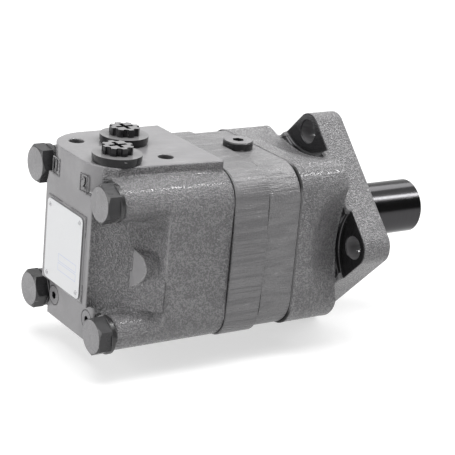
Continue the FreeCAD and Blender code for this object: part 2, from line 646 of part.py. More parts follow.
def bearing_housing():
    corner = BEARING_HOUSING_CORNER
    body = chamfer_ends(rounded_block(X_BEARING_REAR, -FLANGE_RIM_THICKNESS, BODY_HALF, BODY_HALF, corner))
    pilot = turned([(X_FLANGE, 0), (X_FLANGE, PILOT_RADIUS), (X_PILOT - PILOT_CHAMFER, PILOT_RADIUS),
                    (X_PILOT, PILOT_RADIUS - PILOT_CHAMFER), (X_PILOT, 0)])
    shell = body.fuse([flange_plate(), pilot])
    cuts = []
    for turn in EAR_TURNS:
        y, z = on_circle(FLANGE_PITCH_RADIUS, turn)
        cuts.append(rod(-EAR_THICKNESS, X_FLANGE, FLANGE_HOLE_RADIUS, y, z))
        cuts += ear_scallop(turn)
    cuts += [
        rod(X_DUST_SEAL_REAR, X_PILOT, DUST_SEAL_RADIUS),
        rod(X_SHAFT_SEAL_FRONT, X_PILOT, SHAFT_RADIUS + SEAL_WALL_GAP + JOURNAL_TAPER),
        rod(X_FRONT_CUP, X_SHAFT_SEAL_FRONT, SHAFT_SEAL_RADIUS),
        rod(X_BEARING_REAR, X_FRONT_CUP, BEARING_OUTER_RADIUS),
        screw_holes(X_BEARING_REAR, X_SCREW_TIP, SCREW_RADIUS),
    ]
    return shell.cut(cuts)


def dust_seal():
    lip = SHAFT_RADIUS + LIP_CLEARANCE
    return turned([(X_DUST_SEAL_REAR, lip + SEAL_WALL_THICKNESS), (X_DUST_SEAL_REAR, DUST_SEAL_RADIUS),
                   (X_DUST_SEAL_FRONT, DUST_SEAL_RADIUS), (X_DUST_SEAL_FRONT, lip + DUST_LIP_RISE),
                   (X_DUST_SEAL_FRONT - DUST_LIP_START, lip), (X_DUST_SEAL_FRONT - DUST_LIP_END, lip)])


def shaft_seal():
    lip = SEAL_JOURNAL_RADIUS + LIP_CLEARANCE
    wall = SEAL_WALL_THICKNESS
    middle = (X_SHAFT_SEAL_FRONT + X_SHAFT_SEAL_REAR) / 2
    return turned([(X_SHAFT_SEAL_FRONT, SHAFT_SEAL_RADIUS), (X_SHAFT_SEAL_REAR, SHAFT_SEAL_RADIUS),
                   (X_SHAFT_SEAL_REAR, SHAFT_SEAL_RADIUS - wall),
                   (X_SHAFT_SEAL_FRONT - wall, SHAFT_SEAL_RADIUS - wall),
                   (X_SHAFT_SEAL_FRONT - wall, lip + wall), (middle - SHAFT_LIP_HALF_WIDTH, lip + wall),
                   (middle - SHAFT_LIP_HALF_WIDTH, lip), (middle + SHAFT_LIP_HALF_WIDTH, lip),
                   (X_SHAFT_SEAL_FRONT, lip + wall)])


def seal_backup_ring():
    return ring(X_BACKUP_REAR, X_SHAFT_SEAL_REAR, SHAFT_SEAL_RADIUS, SEAL_JOURNAL_RADIUS + BACKUP_RING_GAP)


# Tapered bearing in its own frame: s runs from the cup's back face towards the rollers' large ends.
MEAN_ANGLE = math.radians((CONE_ANGLE + CUP_ANGLE) / 2)
ROLLER_HALF_ANGLE = math.radians((CUP_ANGLE - CONE_ANGLE) / 2)
ROLLER_MIDDLE = (ROLLER_START + ROLLER_END) / 2
APEX_S = ROLLER_MIDDLE - BEARING_MEAN_RADIUS / math.tan(MEAN_ANGLE)


def raceway_radius(s, angle, shift):
    """Radius of a raceway at station s, set off the rollers by shift."""
    a = math.radians(angle)
    return (s - APEX_S) * math.tan(a) + shift / math.cos(a)


def bearing_profile(x_back, direction, corners):
    return turned([(x_back + direction * s, r) for s, r in corners])


def bearing_cup(x_back, direction):
    w = BEARING_CUP_WIDTH
    return bearing_profile(x_back, direction, [
        (0, BEARING_OUTER_RADIUS), (0, raceway_radius(0, CUP_ANGLE, ROLLER_CLEARANCE)),
        (w, raceway_radius(w, CUP_ANGLE, ROLLER_CLEARANCE)), (w, BEARING_OUTER_RADIUS)])


def bearing_cone(x_back, direction):
    start, end = BEARING_CONE_SETBACK, BEARING_WIDTH
    large = ROLLER_END + CONE_RIB_GAP
    rib = raceway_radius(large, CONE_ANGLE, -ROLLER_CLEARANCE) + CONE_RIB_HEIGHT
    return bearing_profile(x_back, direction, [
        (start, BEARING_SEAT_RADIUS), (start, raceway_radius(start, CONE_ANGLE, -ROLLER_CLEARANCE)),
        (large, raceway_radius(large, CONE_ANGLE, -ROLLER_CLEARANCE)), (large, rib), (end, rib),
        (end, BEARING_SEAT_RADIUS)])


def tapered_roller(x_back, direction, turn, grow):
    """One roller; grow enlarges it into the tool that cuts its cage pocket."""
    slant_start = (ROLLER_START - APEX_S) / math.cos(MEAN_ANGLE) + ROLLER_END_RELIEF - grow
    slant_end = (ROLLER_END - APEX_S) / math.cos(MEAN_ANGLE) - ROLLER_END_RELIEF + grow
    grip = math.tan(ROLLER_HALF_ANGLE)
    roller = Part.makeCone(slant_start * grip + grow, slant_end * grip + grow, slant_end - slant_start,
                           Vector(slant_start, 0, 0), AXIS_X)
    roller.rotate(ORIGIN, AXIS_Y, -math.degrees(MEAN_ANGLE))
    roller.translate(Vector(APEX_S, 0, 0))
    if direction < 0:
        roller.rotate(ORIGIN, AXIS_Z, 180)
    roller.rotate(ORIGIN, AXIS_X, turn)
    roller.translate(Vector(x_back, 0, 0))
    return roller


def bearing_rollers(x_back, direction):
    turns = [i * 360 / ROLLERS_PER_BEARING for i in range(ROLLERS_PER_BEARING)]
    return Part.makeCompound([tapered_roller(x_back, direction, turn, 0) for turn in turns])


def bearing_cage(x_back, direction):
    """Thin conical band between the raceways, with one pocket for each roller."""
    mean = (CONE_ANGLE + CUP_ANGLE) / 2
    start, end = ROLLER_START - CAGE_END_LAND, ROLLER_END + CAGE_END_LAND
    inner, outer = CAGE_LIFT - CAGE_THICKNESS / 2, CAGE_LIFT + CAGE_THICKNESS / 2
    band = bearing_profile(x_back, direction, [
        (start, raceway_radius(start, mean, inner)), (start, raceway_radius(start, mean, outer)),
        (end, raceway_radius(end, mean, outer)), (end, raceway_radius(end, mean, inner))])
    pockets = []
    for i in range(ROLLERS_PER_BEARING):
        turn = i * 360 / ROLLERS_PER_BEARING
        pockets.append(tapered_roller(x_back, direction, turn, CAGE_POCKET_CLEARANCE))
    return band.cut(pockets)


def output_shaft():
    tip = X_FLANGE + SHAFT_REACH
    seal_end = X_DUST_SEAL_REAR - SEAL_WALL / 2
    collar = BEARING_SEAT_RADIUS + SHAFT_COLLAR_STEP
    body = turned([
        (X_SHAFT_REAR, 0), (X_SHAFT_REAR, BEARING_SEAT_RADIUS - SHAFT_REAR_CHAMFER),
        (X_SHAFT_REAR + SHAFT_REAR_CHAMFER, BEARING_SEAT_RADIUS),
        (X_COLLAR_REAR, BEARING_SEAT_RADIUS), (X_COLLAR_REAR, collar),
        (X_COLLAR_FRONT, collar), (X_COLLAR_FRONT, BEARING_SEAT_RADIUS),
        (X_FRONT_CUP - BEARING_CONE_SETBACK, BEARING_SEAT_RADIUS), (X_BACKUP_REAR, SEAL_JOURNAL_RADIUS),
        (seal_end - JOURNAL_TAPER, SEAL_JOURNAL_RADIUS), (seal_end, SHAFT_RADIUS),
        (tip - SHAFT_TIP_CHAMFER, SHAFT_RADIUS), (tip, SHAFT_RADIUS - SHAFT_TIP_CHAMFER), (tip, 0)])
    entry = SPLINE_TIP_RADIUS + SPLINE_RADIAL_CLEARANCE + SOCKET_ENTRY_CLEARANCE
    cuts = [
        rod(X_SHAFT_REAR, X_SHAFT_SPLINE_REAR, entry),
        spline_socket(X_SHAFT_SPLINE_REAR, X_SHAFT_SPLINE_FRONT),
        rod(X_SHAFT_SPLINE_FRONT, X_SHAFT_SPLINE_FRONT + SHAFT_SPLINE_RUNOUT, entry),
        rod(tip - CENTRE_HOLE_DEPTH, tip, CENTRE_HOLE_RADIUS),
        key_outline(KEY_DEPTH),
    ]
    return body.cut(cuts)


def key_outline(depth):
    """Round-ended key shape on the +Y side of the shaft, cut depth deep and standing out by the rest."""
    x1 = X_FLANGE + SHAFT_REACH - KEY_SETBACK
    x0 = x1 - KEY_LENGTH
    r = KEY_WIDTH / 2
    low = SHAFT_RADIUS - depth
    ends = [Part.makeCylinder(r, KEY_HEIGHT, Vector(x, low, 0), AXIS_Y) for x in (x0 + r, x1 - r)]
    middle = block(x0 + r, x1 - r, low, low + KEY_HEIGHT, -r, r)
    return middle.fuse(ends).removeSplitter()


def intermediate_housing():
    corner = INTERMEDIATE_CORNER
    body = chamfer_ends(rounded_block(X_INTERMEDIATE_REAR, X_BEARING_REAR, BODY_HALF, BODY_HALF, corner))
    drain_start = math.sqrt(LINK_CAVITY_RADIUS ** 2 - DRAIN_HOLE_RADIUS ** 2)
    cuts = [
        rod(X_INTERMEDIATE_REAR, X_BEARING_REAR, REAR_LAND_BORE),
        rod(X_INTERMEDIATE_REAR + REAR_LAND_WIDTH, X_BEARING_REAR, LINK_CAVITY_RADIUS),
        post(X_DRAIN, 0, drain_start, BODY_HALF, DRAIN_HOLE_RADIUS),
        screw_holes(X_INTERMEDIATE_REAR, X_BEARING_REAR, SCREW_RADIUS + SCREW_HOLE_CLEARANCE),
        seal_groove(X_INTERMEDIATE_REAR, 1),
        seal_groove(X_BEARING_REAR, -1),
    ]
    return body.cut(cuts)


def bearing_shim():
    """Ring between the rear cup and the intermediate housing, ground to set the bearings' play."""
    return ring(X_BEARING_REAR, X_REAR_CUP, BEARING_OUTER_RADIUS, BEARING_OUTER_RADIUS - SHIM_WALL)


def drain_plug():
    z0 = BODY_HALF + DRAIN_WASHER_HEIGHT
    z1 = z0 + DRAIN_HEAD_HEIGHT
    head = post(X_DRAIN, 0, z0, z1, DRAIN_HEAD_RADIUS)
    stem = post(X_DRAIN, 0, BODY_HALF - DRAIN_PLUG_DEPTH, z0, DRAIN_HOLE_RADIUS)
    socket = hex_rod(-z1, -z1 + DRAIN_HEX_DEPTH, DRAIN_HEX_FLATS)
    socket.rotate(ORIGIN, AXIS_Y, 90)
    socket.translate(Vector(X_DRAIN, 0, 0))
    plug = head.fuse(stem).removeSplitter()
    rim = [e for e in plug.Edges if abs(e.BoundBox.ZMin - z1) < 1e-6]
    return plug.makeChamfer(DRAIN_HEAD_CHAMFER, rim).cut(socket)


def drain_plug_washer():
    outer = post(X_DRAIN, 0, BODY_HALF, BODY_HALF + DRAIN_WASHER_HEIGHT, DRAIN_HEAD_RADIUS)
    return outer.cut(post(X_DRAIN, 0, BODY_HALF, BODY_HALF + DRAIN_WASHER_HEIGHT, DRAIN_HOLE_RADIUS))


def pad_outline(z):
    """Outline of the port pad, with large rounded corners at the rear."""
    x0, x1 = X_UPPER_REAR, X_GEROLER_REAR - PORT_PAD_SETBACK
    h, r = PORT_PAD_HALF, PORT_PAD_REAR_CORNER
    k = r * (1 - math.sqrt(0.5))
    front_near, front_far = Vector(x1, -h, z), Vector(x1, h, z)
    far_tangent, near_tangent = Vector(x0 + r, h, z), Vector(x0 + r, -h, z)
    rear_far, rear_near = Vector(x0, h - r, z), Vector(x0, r - h, z)
    edges = [
        Part.LineSegment(front_near, front_far),
        Part.LineSegment(front_far, far_tangent),
        Part.Arc(far_tangent, Vector(x0 + k, h - k, z), rear_far),
        Part.LineSegment(rear_far, rear_near),
        Part.Arc(rear_near, Vector(x0 + k, k - h, z), near_tangent),
        Part.LineSegment(near_tangent, front_near),
    ]
    return Part.Wire([e.toShape() for e in edges])


def valve_casting():
    """Outer form of the valve housing, without its bores."""
    body = rounded_block(X_POCKET_STEP, X_GEROLER_REAR, BODY_HALF, BODY_HALF, BODY_CORNER)
    front = [e for e in body.Edges if e.BoundBox.XMin > X_GEROLER_REAR - 1e-6]
    body = body.makeChamfer(SEAM_CHAMFER, front)
    core = upright_prism([(X_LOWER_REAR, -CORE_HALF_REAR), (X_POCKET_STEP, -CORE_HALF_FRONT),
                          (X_POCKET_STEP, CORE_HALF_FRONT), (X_LOWER_REAR, CORE_HALF_REAR)])
    limit = rounded_block(X_UPPER_REAR, X_GEROLER_REAR, BODY_HALF, BODY_HALF, BODY_CORNER)
    core = core.common(limit)
    lugs = [lug.common(limit) for y, z in CORNERS for lug in screw_lug(y, z)]
    bottom = UPPER_BLOCK_BOTTOM
    pad = Part.Face(pad_outline(bottom)).extrude(Vector(0, 0, PORT_PAD_HEIGHT - bottom))
    upper = block(X_UPPER_REAR, X_LOWER_REAR, -CORE_HALF_REAR, CORE_HALF_REAR, LOWER_FACE_TOP, bottom)
    plate_half = NAMEPLATE_HALF_WIDTH + NAMEPLATE_PAD_MARGIN
    plate_pad = block(X_PLATE_PAD, X_UPPER_REAR, -plate_half, plate_half,
                      NAMEPLATE_BOTTOM - NAMEPLATE_PAD_MARGIN, NAMEPLATE_TOP + NAMEPLATE_PAD_MARGIN)
    solid = body.fuse([core, pad, upper, plate_pad] + lugs + side_bosses())
    heads = [rod(X_PLATE_FACE, X_LUG_FACE, SCREW_SPOT_FACE_RADIUS, y, z) for y, z in CORNERS]
    return solid.cut(heads)


def screw_lug(y, z):
    """Round lug of one screw, with the full corner of the body above the upper ones."""
    lug = rod(X_LUG_FACE, X_POCKET_STEP, LUG_RADIUS, y, z)
    if z < 0:
        return [lug]
    y0, y1 = sorted((math.copysign(CORE_HALF_REAR, y), math.copysign(BODY_HALF, y)))
    return [lug, block(X_LUG_FACE, X_POCKET_STEP, y0, y1, z, BODY_HALF)]


def upright_prism(corners):
    """Prism over (x, y) corners, as tall as the square body."""
    points = [Vector(x, y, -BODY_HALF) for x, y in corners]
    return Part.Face(Part.makePolygon(points + points[:1])).extrude(Vector(0, 0, 2 * BODY_HALF))


def side_bosses():
    """Half-round cast boss in each side pocket, with its rear end cut flat on the slant."""
    bosses = []
    x0 = X_POCKET_STEP - SIDE_BOSS_REACH
    middle = CORE_HALF_REAR + SIDE_BOSS_OFFSET
    outer = middle + SIDE_BOSS_RADIUS
    for side in (-1, 1):
        boss = rod(x0, X_POCKET_STEP, SIDE_BOSS_RADIUS, side * middle, SIDE_BOSS_Z)
        slant = upright_prism([(x0, side * (middle + SIDE_BOSS_SLANT_INSET)),
                               (x0 + SIDE_BOSS_SLANT_LENGTH, side * outer), (x0, side * outer)])
        bosses.append(boss.cut(slant))
    return bosses


def front_passage():
    """Slanted drilling from the bottom of the front port down to the outer annulus."""
    start = Vector(X_FRONT_PORT + FRONT_PASSAGE_OFFSET, FRONT_PORT_Y,
                   PORT_PAD_HEIGHT - PORT_THREAD_DEPTH + FRONT_PASSAGE_START)
    return Part.makeCylinder(FRONT_PASSAGE_RADIUS, FRONT_PASSAGE_LENGTH, start, Vector(1, 0, -1))


def valve_housing():
    solid = valve_casting()
    z_thread = PORT_PAD_HEIGHT - PORT_THREAD_DEPTH
    z_manifold = PORT_PAD_HEIGHT - MANIFOLD_HOLE_DEPTH
    top = PORT_PAD_HEIGHT
    cuts = [
        rod(X_CHANNEL_REAR, X_GEROLER_REAR, CHANNEL_PLATE_RADIUS + CHANNEL_PLATE_CLEARANCE),
        rod(X_BALANCE_FRONT, X_CHANNEL_REAR, OUTER_ANNULUS_RADIUS),
        rod(X_BALANCE_FLOOR, X_BALANCE_FRONT, BALANCE_PLATE_RADIUS + BALANCE_FIT),
        rod(X_CHAMBER_REAR, X_BALANCE_FLOOR, REAR_CHAMBER_RADIUS),
        post(X_REAR_PORT, REAR_PORT_Y, z_thread, top, PORT_THREAD_RADIUS),
        post(X_FRONT_PORT, FRONT_PORT_Y, z_thread, top, PORT_THREAD_RADIUS),
        post(X_REAR_PORT, REAR_PORT_Y, 0, z_thread, REAR_PASSAGE_RADIUS),
        front_passage(),
        post(X_FRONT_MANIFOLD, -MANIFOLD_HALF_SPACING_Y, z_manifold, top, MANIFOLD_HOLE_RADIUS),
        post(X_REAR_MANIFOLD, MANIFOLD_HALF_SPACING_Y, z_manifold, top, MANIFOLD_HOLE_RADIUS),
        screw_holes(X_LUG_FACE, X_GEROLER_REAR, SCREW_RADIUS + SCREW_HOLE_CLEARANCE),
        seal_groove(X_GEROLER_REAR, -1),
    ]
    for y in (-CHECK_HALF_SPACING, CHECK_HALF_SPACING):
        cuts += check_valve_bores(y)
    cuts += dowels(X_CHANNEL_REAR - DOWEL_LENGTH / 2, X_CHANNEL_REAR)
    cuts += pins(X_BALANCE_FLOOR - BALANCE_PIN_LENGTH / 2, X_BALANCE_FLOOR)
    for y, z in drive_screw_places():
        cuts.append(rod(X_PLATE_PAD, X_PLATE_FACE + DRIVE_SCREW_SHANK_LENGTH, DRIVE_SCREW_SHANK_RADIUS, y, z))
    return solid.cut(cuts)


def check_valve_bores(y):
    """Stepped bore of one check valve, its seat and the drilling that meets the outer annulus."""
    seat = seat_station()
    radius = math.hypot(y, CHECK_Z)
    inward = Vector(0, -y / radius, -CHECK_Z / radius)
    x_end = (X_CHANNEL_REAR + X_BALANCE_FRONT) / 2
    cross = Part.makeCylinder(CHECK_SEAT_RADIUS, radius - OUTER_ANNULUS_RADIUS + CUTTER_OVERRUN,
                              Vector(x_end, y, CHECK_Z), inward)
    cone = Part.makeCone(CHECK_CHAMBER_RADIUS, CHECK_SEAT_RADIUS, CHECK_CHAMBER_RADIUS - CHECK_SEAT_RADIUS,
                         Vector(seat, y, CHECK_Z), AXIS_X)
    return [
        rod(X_LOWER_REAR, X_CHECK_PLUG_FRONT, CHECK_PLUG_RADIUS, y, CHECK_Z),
        rod(X_CHECK_PLUG_FRONT, seat, CHECK_CHAMBER_RADIUS, y, CHECK_Z),
        cone,
        rod(seat, x_end + CHECK_SEAT_RADIUS, CHECK_SEAT_RADIUS, y, CHECK_Z),
        cross,
    ]


def seat_station():
    """Station where the 45-degree seat starts, so that the ball touches it at rest."""
    reach = (CHECK_BALL_RADIUS + CHECK_SEAT_CLEARANCE) * math.sqrt(2)
    return X_CHECK_BALL + reach - CHECK_CHAMBER_RADIUS


def check_valve_plugs():
    plugs = []
    for y in (-CHECK_HALF_SPACING, CHECK_HALF_SPACING):
        plug = rod(X_LOWER_REAR, X_CHECK_PLUG_FRONT, CHECK_PLUG_RADIUS, y, CHECK_Z)
        nose = rod(X_CHECK_PLUG_FRONT, X_CHECK_NOSE, CHECK_PLUG_NOSE_RADIUS, y, CHECK_Z)
        socket = hex_rod(X_LOWER_REAR, X_LOWER_REAR + CHECK_PLUG_HEX_DEPTH, CHECK_PLUG_HEX_FLATS, y, CHECK_Z)
        plugs.append(plug.fuse(nose).removeSplitter().cut(socket))
    return Part.makeCompound(plugs)


def check_ball(y):
    return Part.makeSphere(CHECK_BALL_RADIUS, Vector(X_CHECK_BALL, y, CHECK_Z))


DOWEL_TURNS = (180 / (LOBES + 1), 180 + 180 / (LOBES + 1))
BALANCE_PIN_TURNS = (0, 180)


def dowels(x0, x1):
    """Rods between two stations at the places of the channel plate's dowels."""
    return [rod(x0, x1, DOWEL_RADIUS, *on_circle(DOWEL_CIRCLE, turn)) for turn in DOWEL_TURNS]


def pins(x0, x1):
    """Rods between two stations at the places of the balance plate's pins."""
    circle = (BALANCE_PLATE_RADIUS + REAR_CHAMBER_RADIUS) / 2
    return [rod(x0, x1, BALANCE_PIN_RADIUS, *on_circle(circle, turn)) for turn in BALANCE_PIN_TURNS]


def channel_plate():
    plate = ring(X_CHANNEL_REAR, X_GEROLER_REAR, CHANNEL_PLATE_RADIUS, CHANNEL_BORE)
    cuts = dowels(X_CHANNEL_REAR, X_CHANNEL_REAR + DOWEL_LENGTH / 2)
    for i in range(LOBES + 1):
        y, z = on_circle(CHANNEL_PORT_CIRCLE, 360 * (i + 0.5) / (LOBES + 1))
        cuts.append(rod(X_CHANNEL_REAR, X_GEROLER_REAR, CHANNEL_PORT_RADIUS, y, z))
    return plate.cut(cuts)


def channel_plate_dowels():
    return Part.makeCompound(dowels(X_CHANNEL_REAR - DOWEL_LENGTH / 2, X_CHANNEL_REAR + DOWEL_LENGTH / 2))


def disc_valve():
    """Rotating distributor: six edge slots feed from the outer annulus, six bores from the rear chamber."""
    disc = rod(X_DISC_REAR, X_DISC_FRONT, DISC_VALVE_RADIUS)
    hub = rod(X_HUB_REAR, X_DISC_REAR, DISC_VALVE_HUB_RADIUS)
    body = disc.fuse(hub).removeSplitter()
    cuts = [spline_socket(X_HUB_REAR, X_DISC_FRONT)]
    half = VALVE_SLOT_WIDTH / 2
    floor = X_DISC_FRONT - VALVE_SLOT_DEPTH
    rim = DISC_VALVE_RADIUS + CUTTER_OVERRUN
    for i in range(LOBES):
        slot = block(floor, X_DISC_FRONT, CHANNEL_PORT_CIRCLE, rim, -half, half)
        end = rod(floor, X_DISC_FRONT, half, CHANNEL_PORT_CIRCLE, 0)
        tool = slot.fuse(end).removeSplitter()
        tool.rotate(ORIGIN, AXIS_X, 360 / LOBES * i)
        cuts.append(tool)
        y, z = on_circle(BALANCE_PORT_CIRCLE, 360 * (i + 0.5) / LOBES)
        cuts.append(rod(X_DISC_REAR, X_DISC_FRONT, VALVE_PORT_RADIUS, y, z))
    return body.cut(cuts)


def balance_plate():
    """Ring that is pressed against the disc valve and doesn't turn."""
    plate = ring(X_BALANCE_REAR, X_BALANCE_FRONT, BALANCE_PLATE_RADIUS, BALANCE_PLATE_BORE)
    cuts = [ring(X_BALANCE_FRONT - BALANCE_GROOVE_DEPTH, X_BALANCE_FRONT,
                 BALANCE_PORT_CIRCLE + BALANCE_GROOVE_HALF, BALANCE_PORT_CIRCLE - BALANCE_GROOVE_HALF)]
    for i in range(BALANCE_DRILL_COUNT):
        y, z = on_circle(REAR_CHAMBER_RADIUS - BALANCE_DRILL_INSET, 360 / BALANCE_DRILL_COUNT * i + 90)
        cuts.append(rod(X_BALANCE_REAR, X_BALANCE_FRONT, BALANCE_DRILL_RADIUS, y, z))
    cuts += pins(X_BALANCE_REAR, X_BALANCE_REAR + BALANCE_PIN_LENGTH / 2 - BALANCE_SPRING_SPACE)
    x0, x1 = balance_seal_stations()
    cuts.append(ring(x0, x1, BALANCE_PLATE_RADIUS, BALANCE_PLATE_RADIUS - BALANCE_SEAL_SECTION))
    return plate.cut(cuts)


def balance_seal_stations():
    middle = (X_BALANCE_FRONT + X_BALANCE_REAR) / 2
    return middle - BALANCE_SEAL_SECTION / 2, middle + BALANCE_SEAL_SECTION / 2


def balance_seal():
    x0, x1 = balance_seal_stations()
    return ring(x0, x1, BALANCE_PLATE_RADIUS + BALANCE_FIT, BALANCE_PLATE_RADIUS - BALANCE_SEAL_SECTION)


def balance_pins():
    x0 = X_BALANCE_FLOOR - BALANCE_PIN_LENGTH / 2
    return Part.makeCompound(pins(x0, x0 + BALANCE_PIN_LENGTH))


def balance_spring():
    """Conical spring washer that presses the balance plate forward."""
    x0, x1 = X_BALANCE_FLOOR, X_BALANCE_REAR
    t = BALANCE_SPRING_THICKNESS
    inner = REAR_CHAMBER_RADIUS + BALANCE_SPRING_CLEARANCE
    outer = (BALANCE_PLATE_RADIUS + REAR_CHAMBER_RADIUS) / 2 - BALANCE_PIN_RADIUS - LIP_CLEARANCE
    return turned([(x0, outer), (x0 + t, outer), (x1, inner), (x1 - t, inner)])


def port_plug(x, y):
    """Moulded plug: hollow stem, thin collar, thick disc and a fluted grip with a cross-shaped slot."""
    z0 = PORT_PAD_HEIGHT
    z1 = z0 + PLUG_COLLAR_HEIGHT
    z2 = z1 + PLUG_DISC_HEIGHT
    z3 = z2 + PLUG_GRIP_HEIGHT
    collar = post(x, y, z0, z1, PLUG_COLLAR_RADIUS)
    disc = post(x, y, z1, z2, PLUG_DISC_RADIUS)
    flutes = []
    for i in range(PLUG_GRIP_LOBES):
        dx, dy = on_circle(PLUG_GRIP_RADIUS, 360 * (i + 0.5) / PLUG_GRIP_LOBES)
        flutes.append(post(x + dx, y + dy, z2, z3, PLUG_GRIP_FLUTE))
    grip = post(x, y, z2, z3, PLUG_GRIP_RADIUS).cut(flutes)
    stem_radius = PORT_THREAD_RADIUS - PLUG_CLEARANCE
    stem = post(x, y, z0 - PLUG_STEM_LENGTH, z0, stem_radius)
    hollow = post(x, y, z0 - PLUG_STEM_LENGTH, z0 - PLUG_STEM_WALL, stem_radius - PLUG_STEM_WALL)
    w, reach, floor = PLUG_CROSS_WIDTH / 2, PLUG_CROSS_REACH, z3 - PLUG_CROSS_DEPTH
    cross = [block(x - reach, x + reach, y - w, y + w, floor, z3),
             block(x - w, x + w, y - reach, y + reach, floor, z3)]
    return collar.fuse([disc, grip, stem]).cut([hollow] + cross)


def cap_screws():
    screws = []
    corner = SCREW_HEAD_FLATS / math.sqrt(3)
    for (y, z), turn in zip(CORNERS, SCREW_TURNS):
        head = hex_rod(X_HEAD_FACE, X_WASHER_REAR, SCREW_HEAD_FLATS, y, z, turn)
        bevel = turned([(X_HEAD_FACE, 0), (X_HEAD_FACE, SCREW_HEAD_FLATS / 2 - SCREW_FACE_INSET),
                        (X_HEAD_FACE + SCREW_HEAD_BEVEL, corner), (X_WASHER_REAR, corner),
                        (X_WASHER_REAR, 0)])
        bevel.translate(Vector(0, y, z))
        shank = rod(X_WASHER_REAR, X_SCREW_TIP, SCREW_RADIUS, y, z)
        screws.append(head.common(bevel).fuse(shank).removeSplitter())
    return Part.makeCompound(screws)


def cap_screw_washers():
    bore = SCREW_RADIUS + SCREW_HOLE_CLEARANCE / 2
    return Part.makeCompound([ring(X_WASHER_REAR, X_LUG_FACE, WASHER_RADIUS, bore, y, z) for y, z in CORNERS])


def plate_outline(x):
    middle = (NAMEPLATE_TOP + NAMEPLATE_BOTTOM) / 2
    half = (NAMEPLATE_TOP - NAMEPLATE_BOTTOM) / 2
    wire = rounded_outline(x, NAMEPLATE_HALF_WIDTH, half, NAMEPLATE_CORNER)
    wire.translate(Vector(0, 0, middle))
    return wire


def drive_screw_places():
    places = []
    for side in (-1, 1):
        for z in (NAMEPLATE_BOTTOM + DRIVE_SCREW_INSET, NAMEPLATE_TOP - DRIVE_SCREW_INSET):
            places.append((side * (NAMEPLATE_HALF_WIDTH - DRIVE_SCREW_INSET), z))
    return places


def nameplate():
    plate = Part.Face(plate_outline(X_PLATE_FACE)).extrude(Vector(NAMEPLATE_THICKNESS, 0, 0))
    holes = [rod(X_PLATE_FACE, X_PLATE_PAD, DRIVE_SCREW_SHANK_RADIUS, y, z) for y, z in drive_screw_places()]
    return plate.cut(holes)


def nameplate_drive_screws():
    screws = []
    for y, z in drive_screw_places():
        head = turned([(X_PLATE_FACE, 0), (X_PLATE_FACE, DRIVE_SCREW_HEAD_RADIUS),
                       (X_PLATE_FACE - DRIVE_SCREW_HEAD_HEIGHT, DRIVE_SCREW_CROWN_RADIUS),
                       (X_PLATE_FACE - DRIVE_SCREW_HEAD_HEIGHT, 0)])
        head.translate(Vector(0, y, z))
        shank = rod(X_PLATE_FACE, X_PLATE_FACE + DRIVE_SCREW_SHANK_LENGTH, DRIVE_SCREW_SHANK_RADIUS, y, z)
        screws.append(head.fuse(shank).removeSplitter())
    return Part.makeCompound(screws)


def build_nodes():
    nodes = {
        "valve_housing": valve_housing(),
        "geroler_ring": geroler_ring(),
        "intermediate_housing": intermediate_housing(),
        "bearing_housing": bearing_housing(),
        "cap_screws": cap_screws(),
        "cap_screw_washers": cap_screw_washers(),
        "nameplate": nameplate(),
        "nameplate_drive_screws": nameplate_drive_screws(),
        "rear_port_plug": port_plug(X_REAR_PORT, REAR_PORT_Y),
        "front_port_plug": port_plug(X_FRONT_PORT, FRONT_PORT_Y),
        "drain_plug": drain_plug(),
        "drain_plug_washer": drain_plug_washer(),
        "check_valve_plugs": check_valve_plugs(),
        "near_check_ball": check_ball(-CHECK_HALF_SPACING),
        "far_check_ball": check_ball(CHECK_HALF_SPACING),
        "output_shaft": output_shaft(),
        "shaft_key": key_outline(KEY_DEPTH),
        "dust_seal": dust_seal(),
        "shaft_seal": shaft_seal(),
        "seal_backup_ring": seal_backup_ring(),
        "bearing_shim": bearing_shim(),
        "main_drive_link": drive_link(X_MAIN_FRONT_HEAD, X_MAIN_REAR_HEAD, MAIN_LINK_WAIST),
        "valve_drive_link": drive_link(X_VALVE_REAR_HEAD, X_VALVE_FRONT_HEAD, VALVE_LINK_WAIST),
        "drive_spacer": drive_spacer(),
        "geroler_rotor": geroler_rotor(),
        "channel_plate": channel_plate(),
        "channel_plate_dowels": channel_plate_dowels(),
        "disc_valve": disc_valve(),
        "balance_plate": balance_plate(),
        "balance_pins": balance_pins(),
        "balance_seal": balance_seal(),
        "balance_spring": balance_spring(),
        "rear_seal_ring": seal_ring(X_GEROLER_REAR, -1),
        "middle_seal_ring": seal_ring(X_INTERMEDIATE_REAR, 1),
        "front_seal_ring": seal_ring(X_BEARING_REAR, -1),
    }
    for i in range(LOBES + 1):
        nodes["geroler_roller_%d" % (i + 1)] = geroler_roller(i)
    for name, x_back, direction in (("front", X_FRONT_CUP, -1), ("rear", X_REAR_CUP, 1)):
        nodes[name + "_bearing_cup"] = bearing_cup(x_back, direction)
        nodes[name + "_bearing_cone"] = bearing_cone(x_back, direction)
        nodes[name + "_bearing_rollers"] = bearing_rollers(x_back, direction)
        nodes[name + "_bearing_cage"] = bearing_cage(x_back, direction)
    return nodes


def main():
    os.makedirs("parts", exist_ok=True)
    for name, shape in build_nodes().items():
        if not shape.isValid() or not shape.Solids:
            raise ValueError("the shape of %s is not a valid solid" % name)
        shape.exportStep("parts/%s.step" % name)
        print(name, len(shape.Solids), round(shape.Volume, 1))


main()
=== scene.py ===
import math

import bmesh
import bpy
import numpy as np
from mathutils import Matrix, Vector


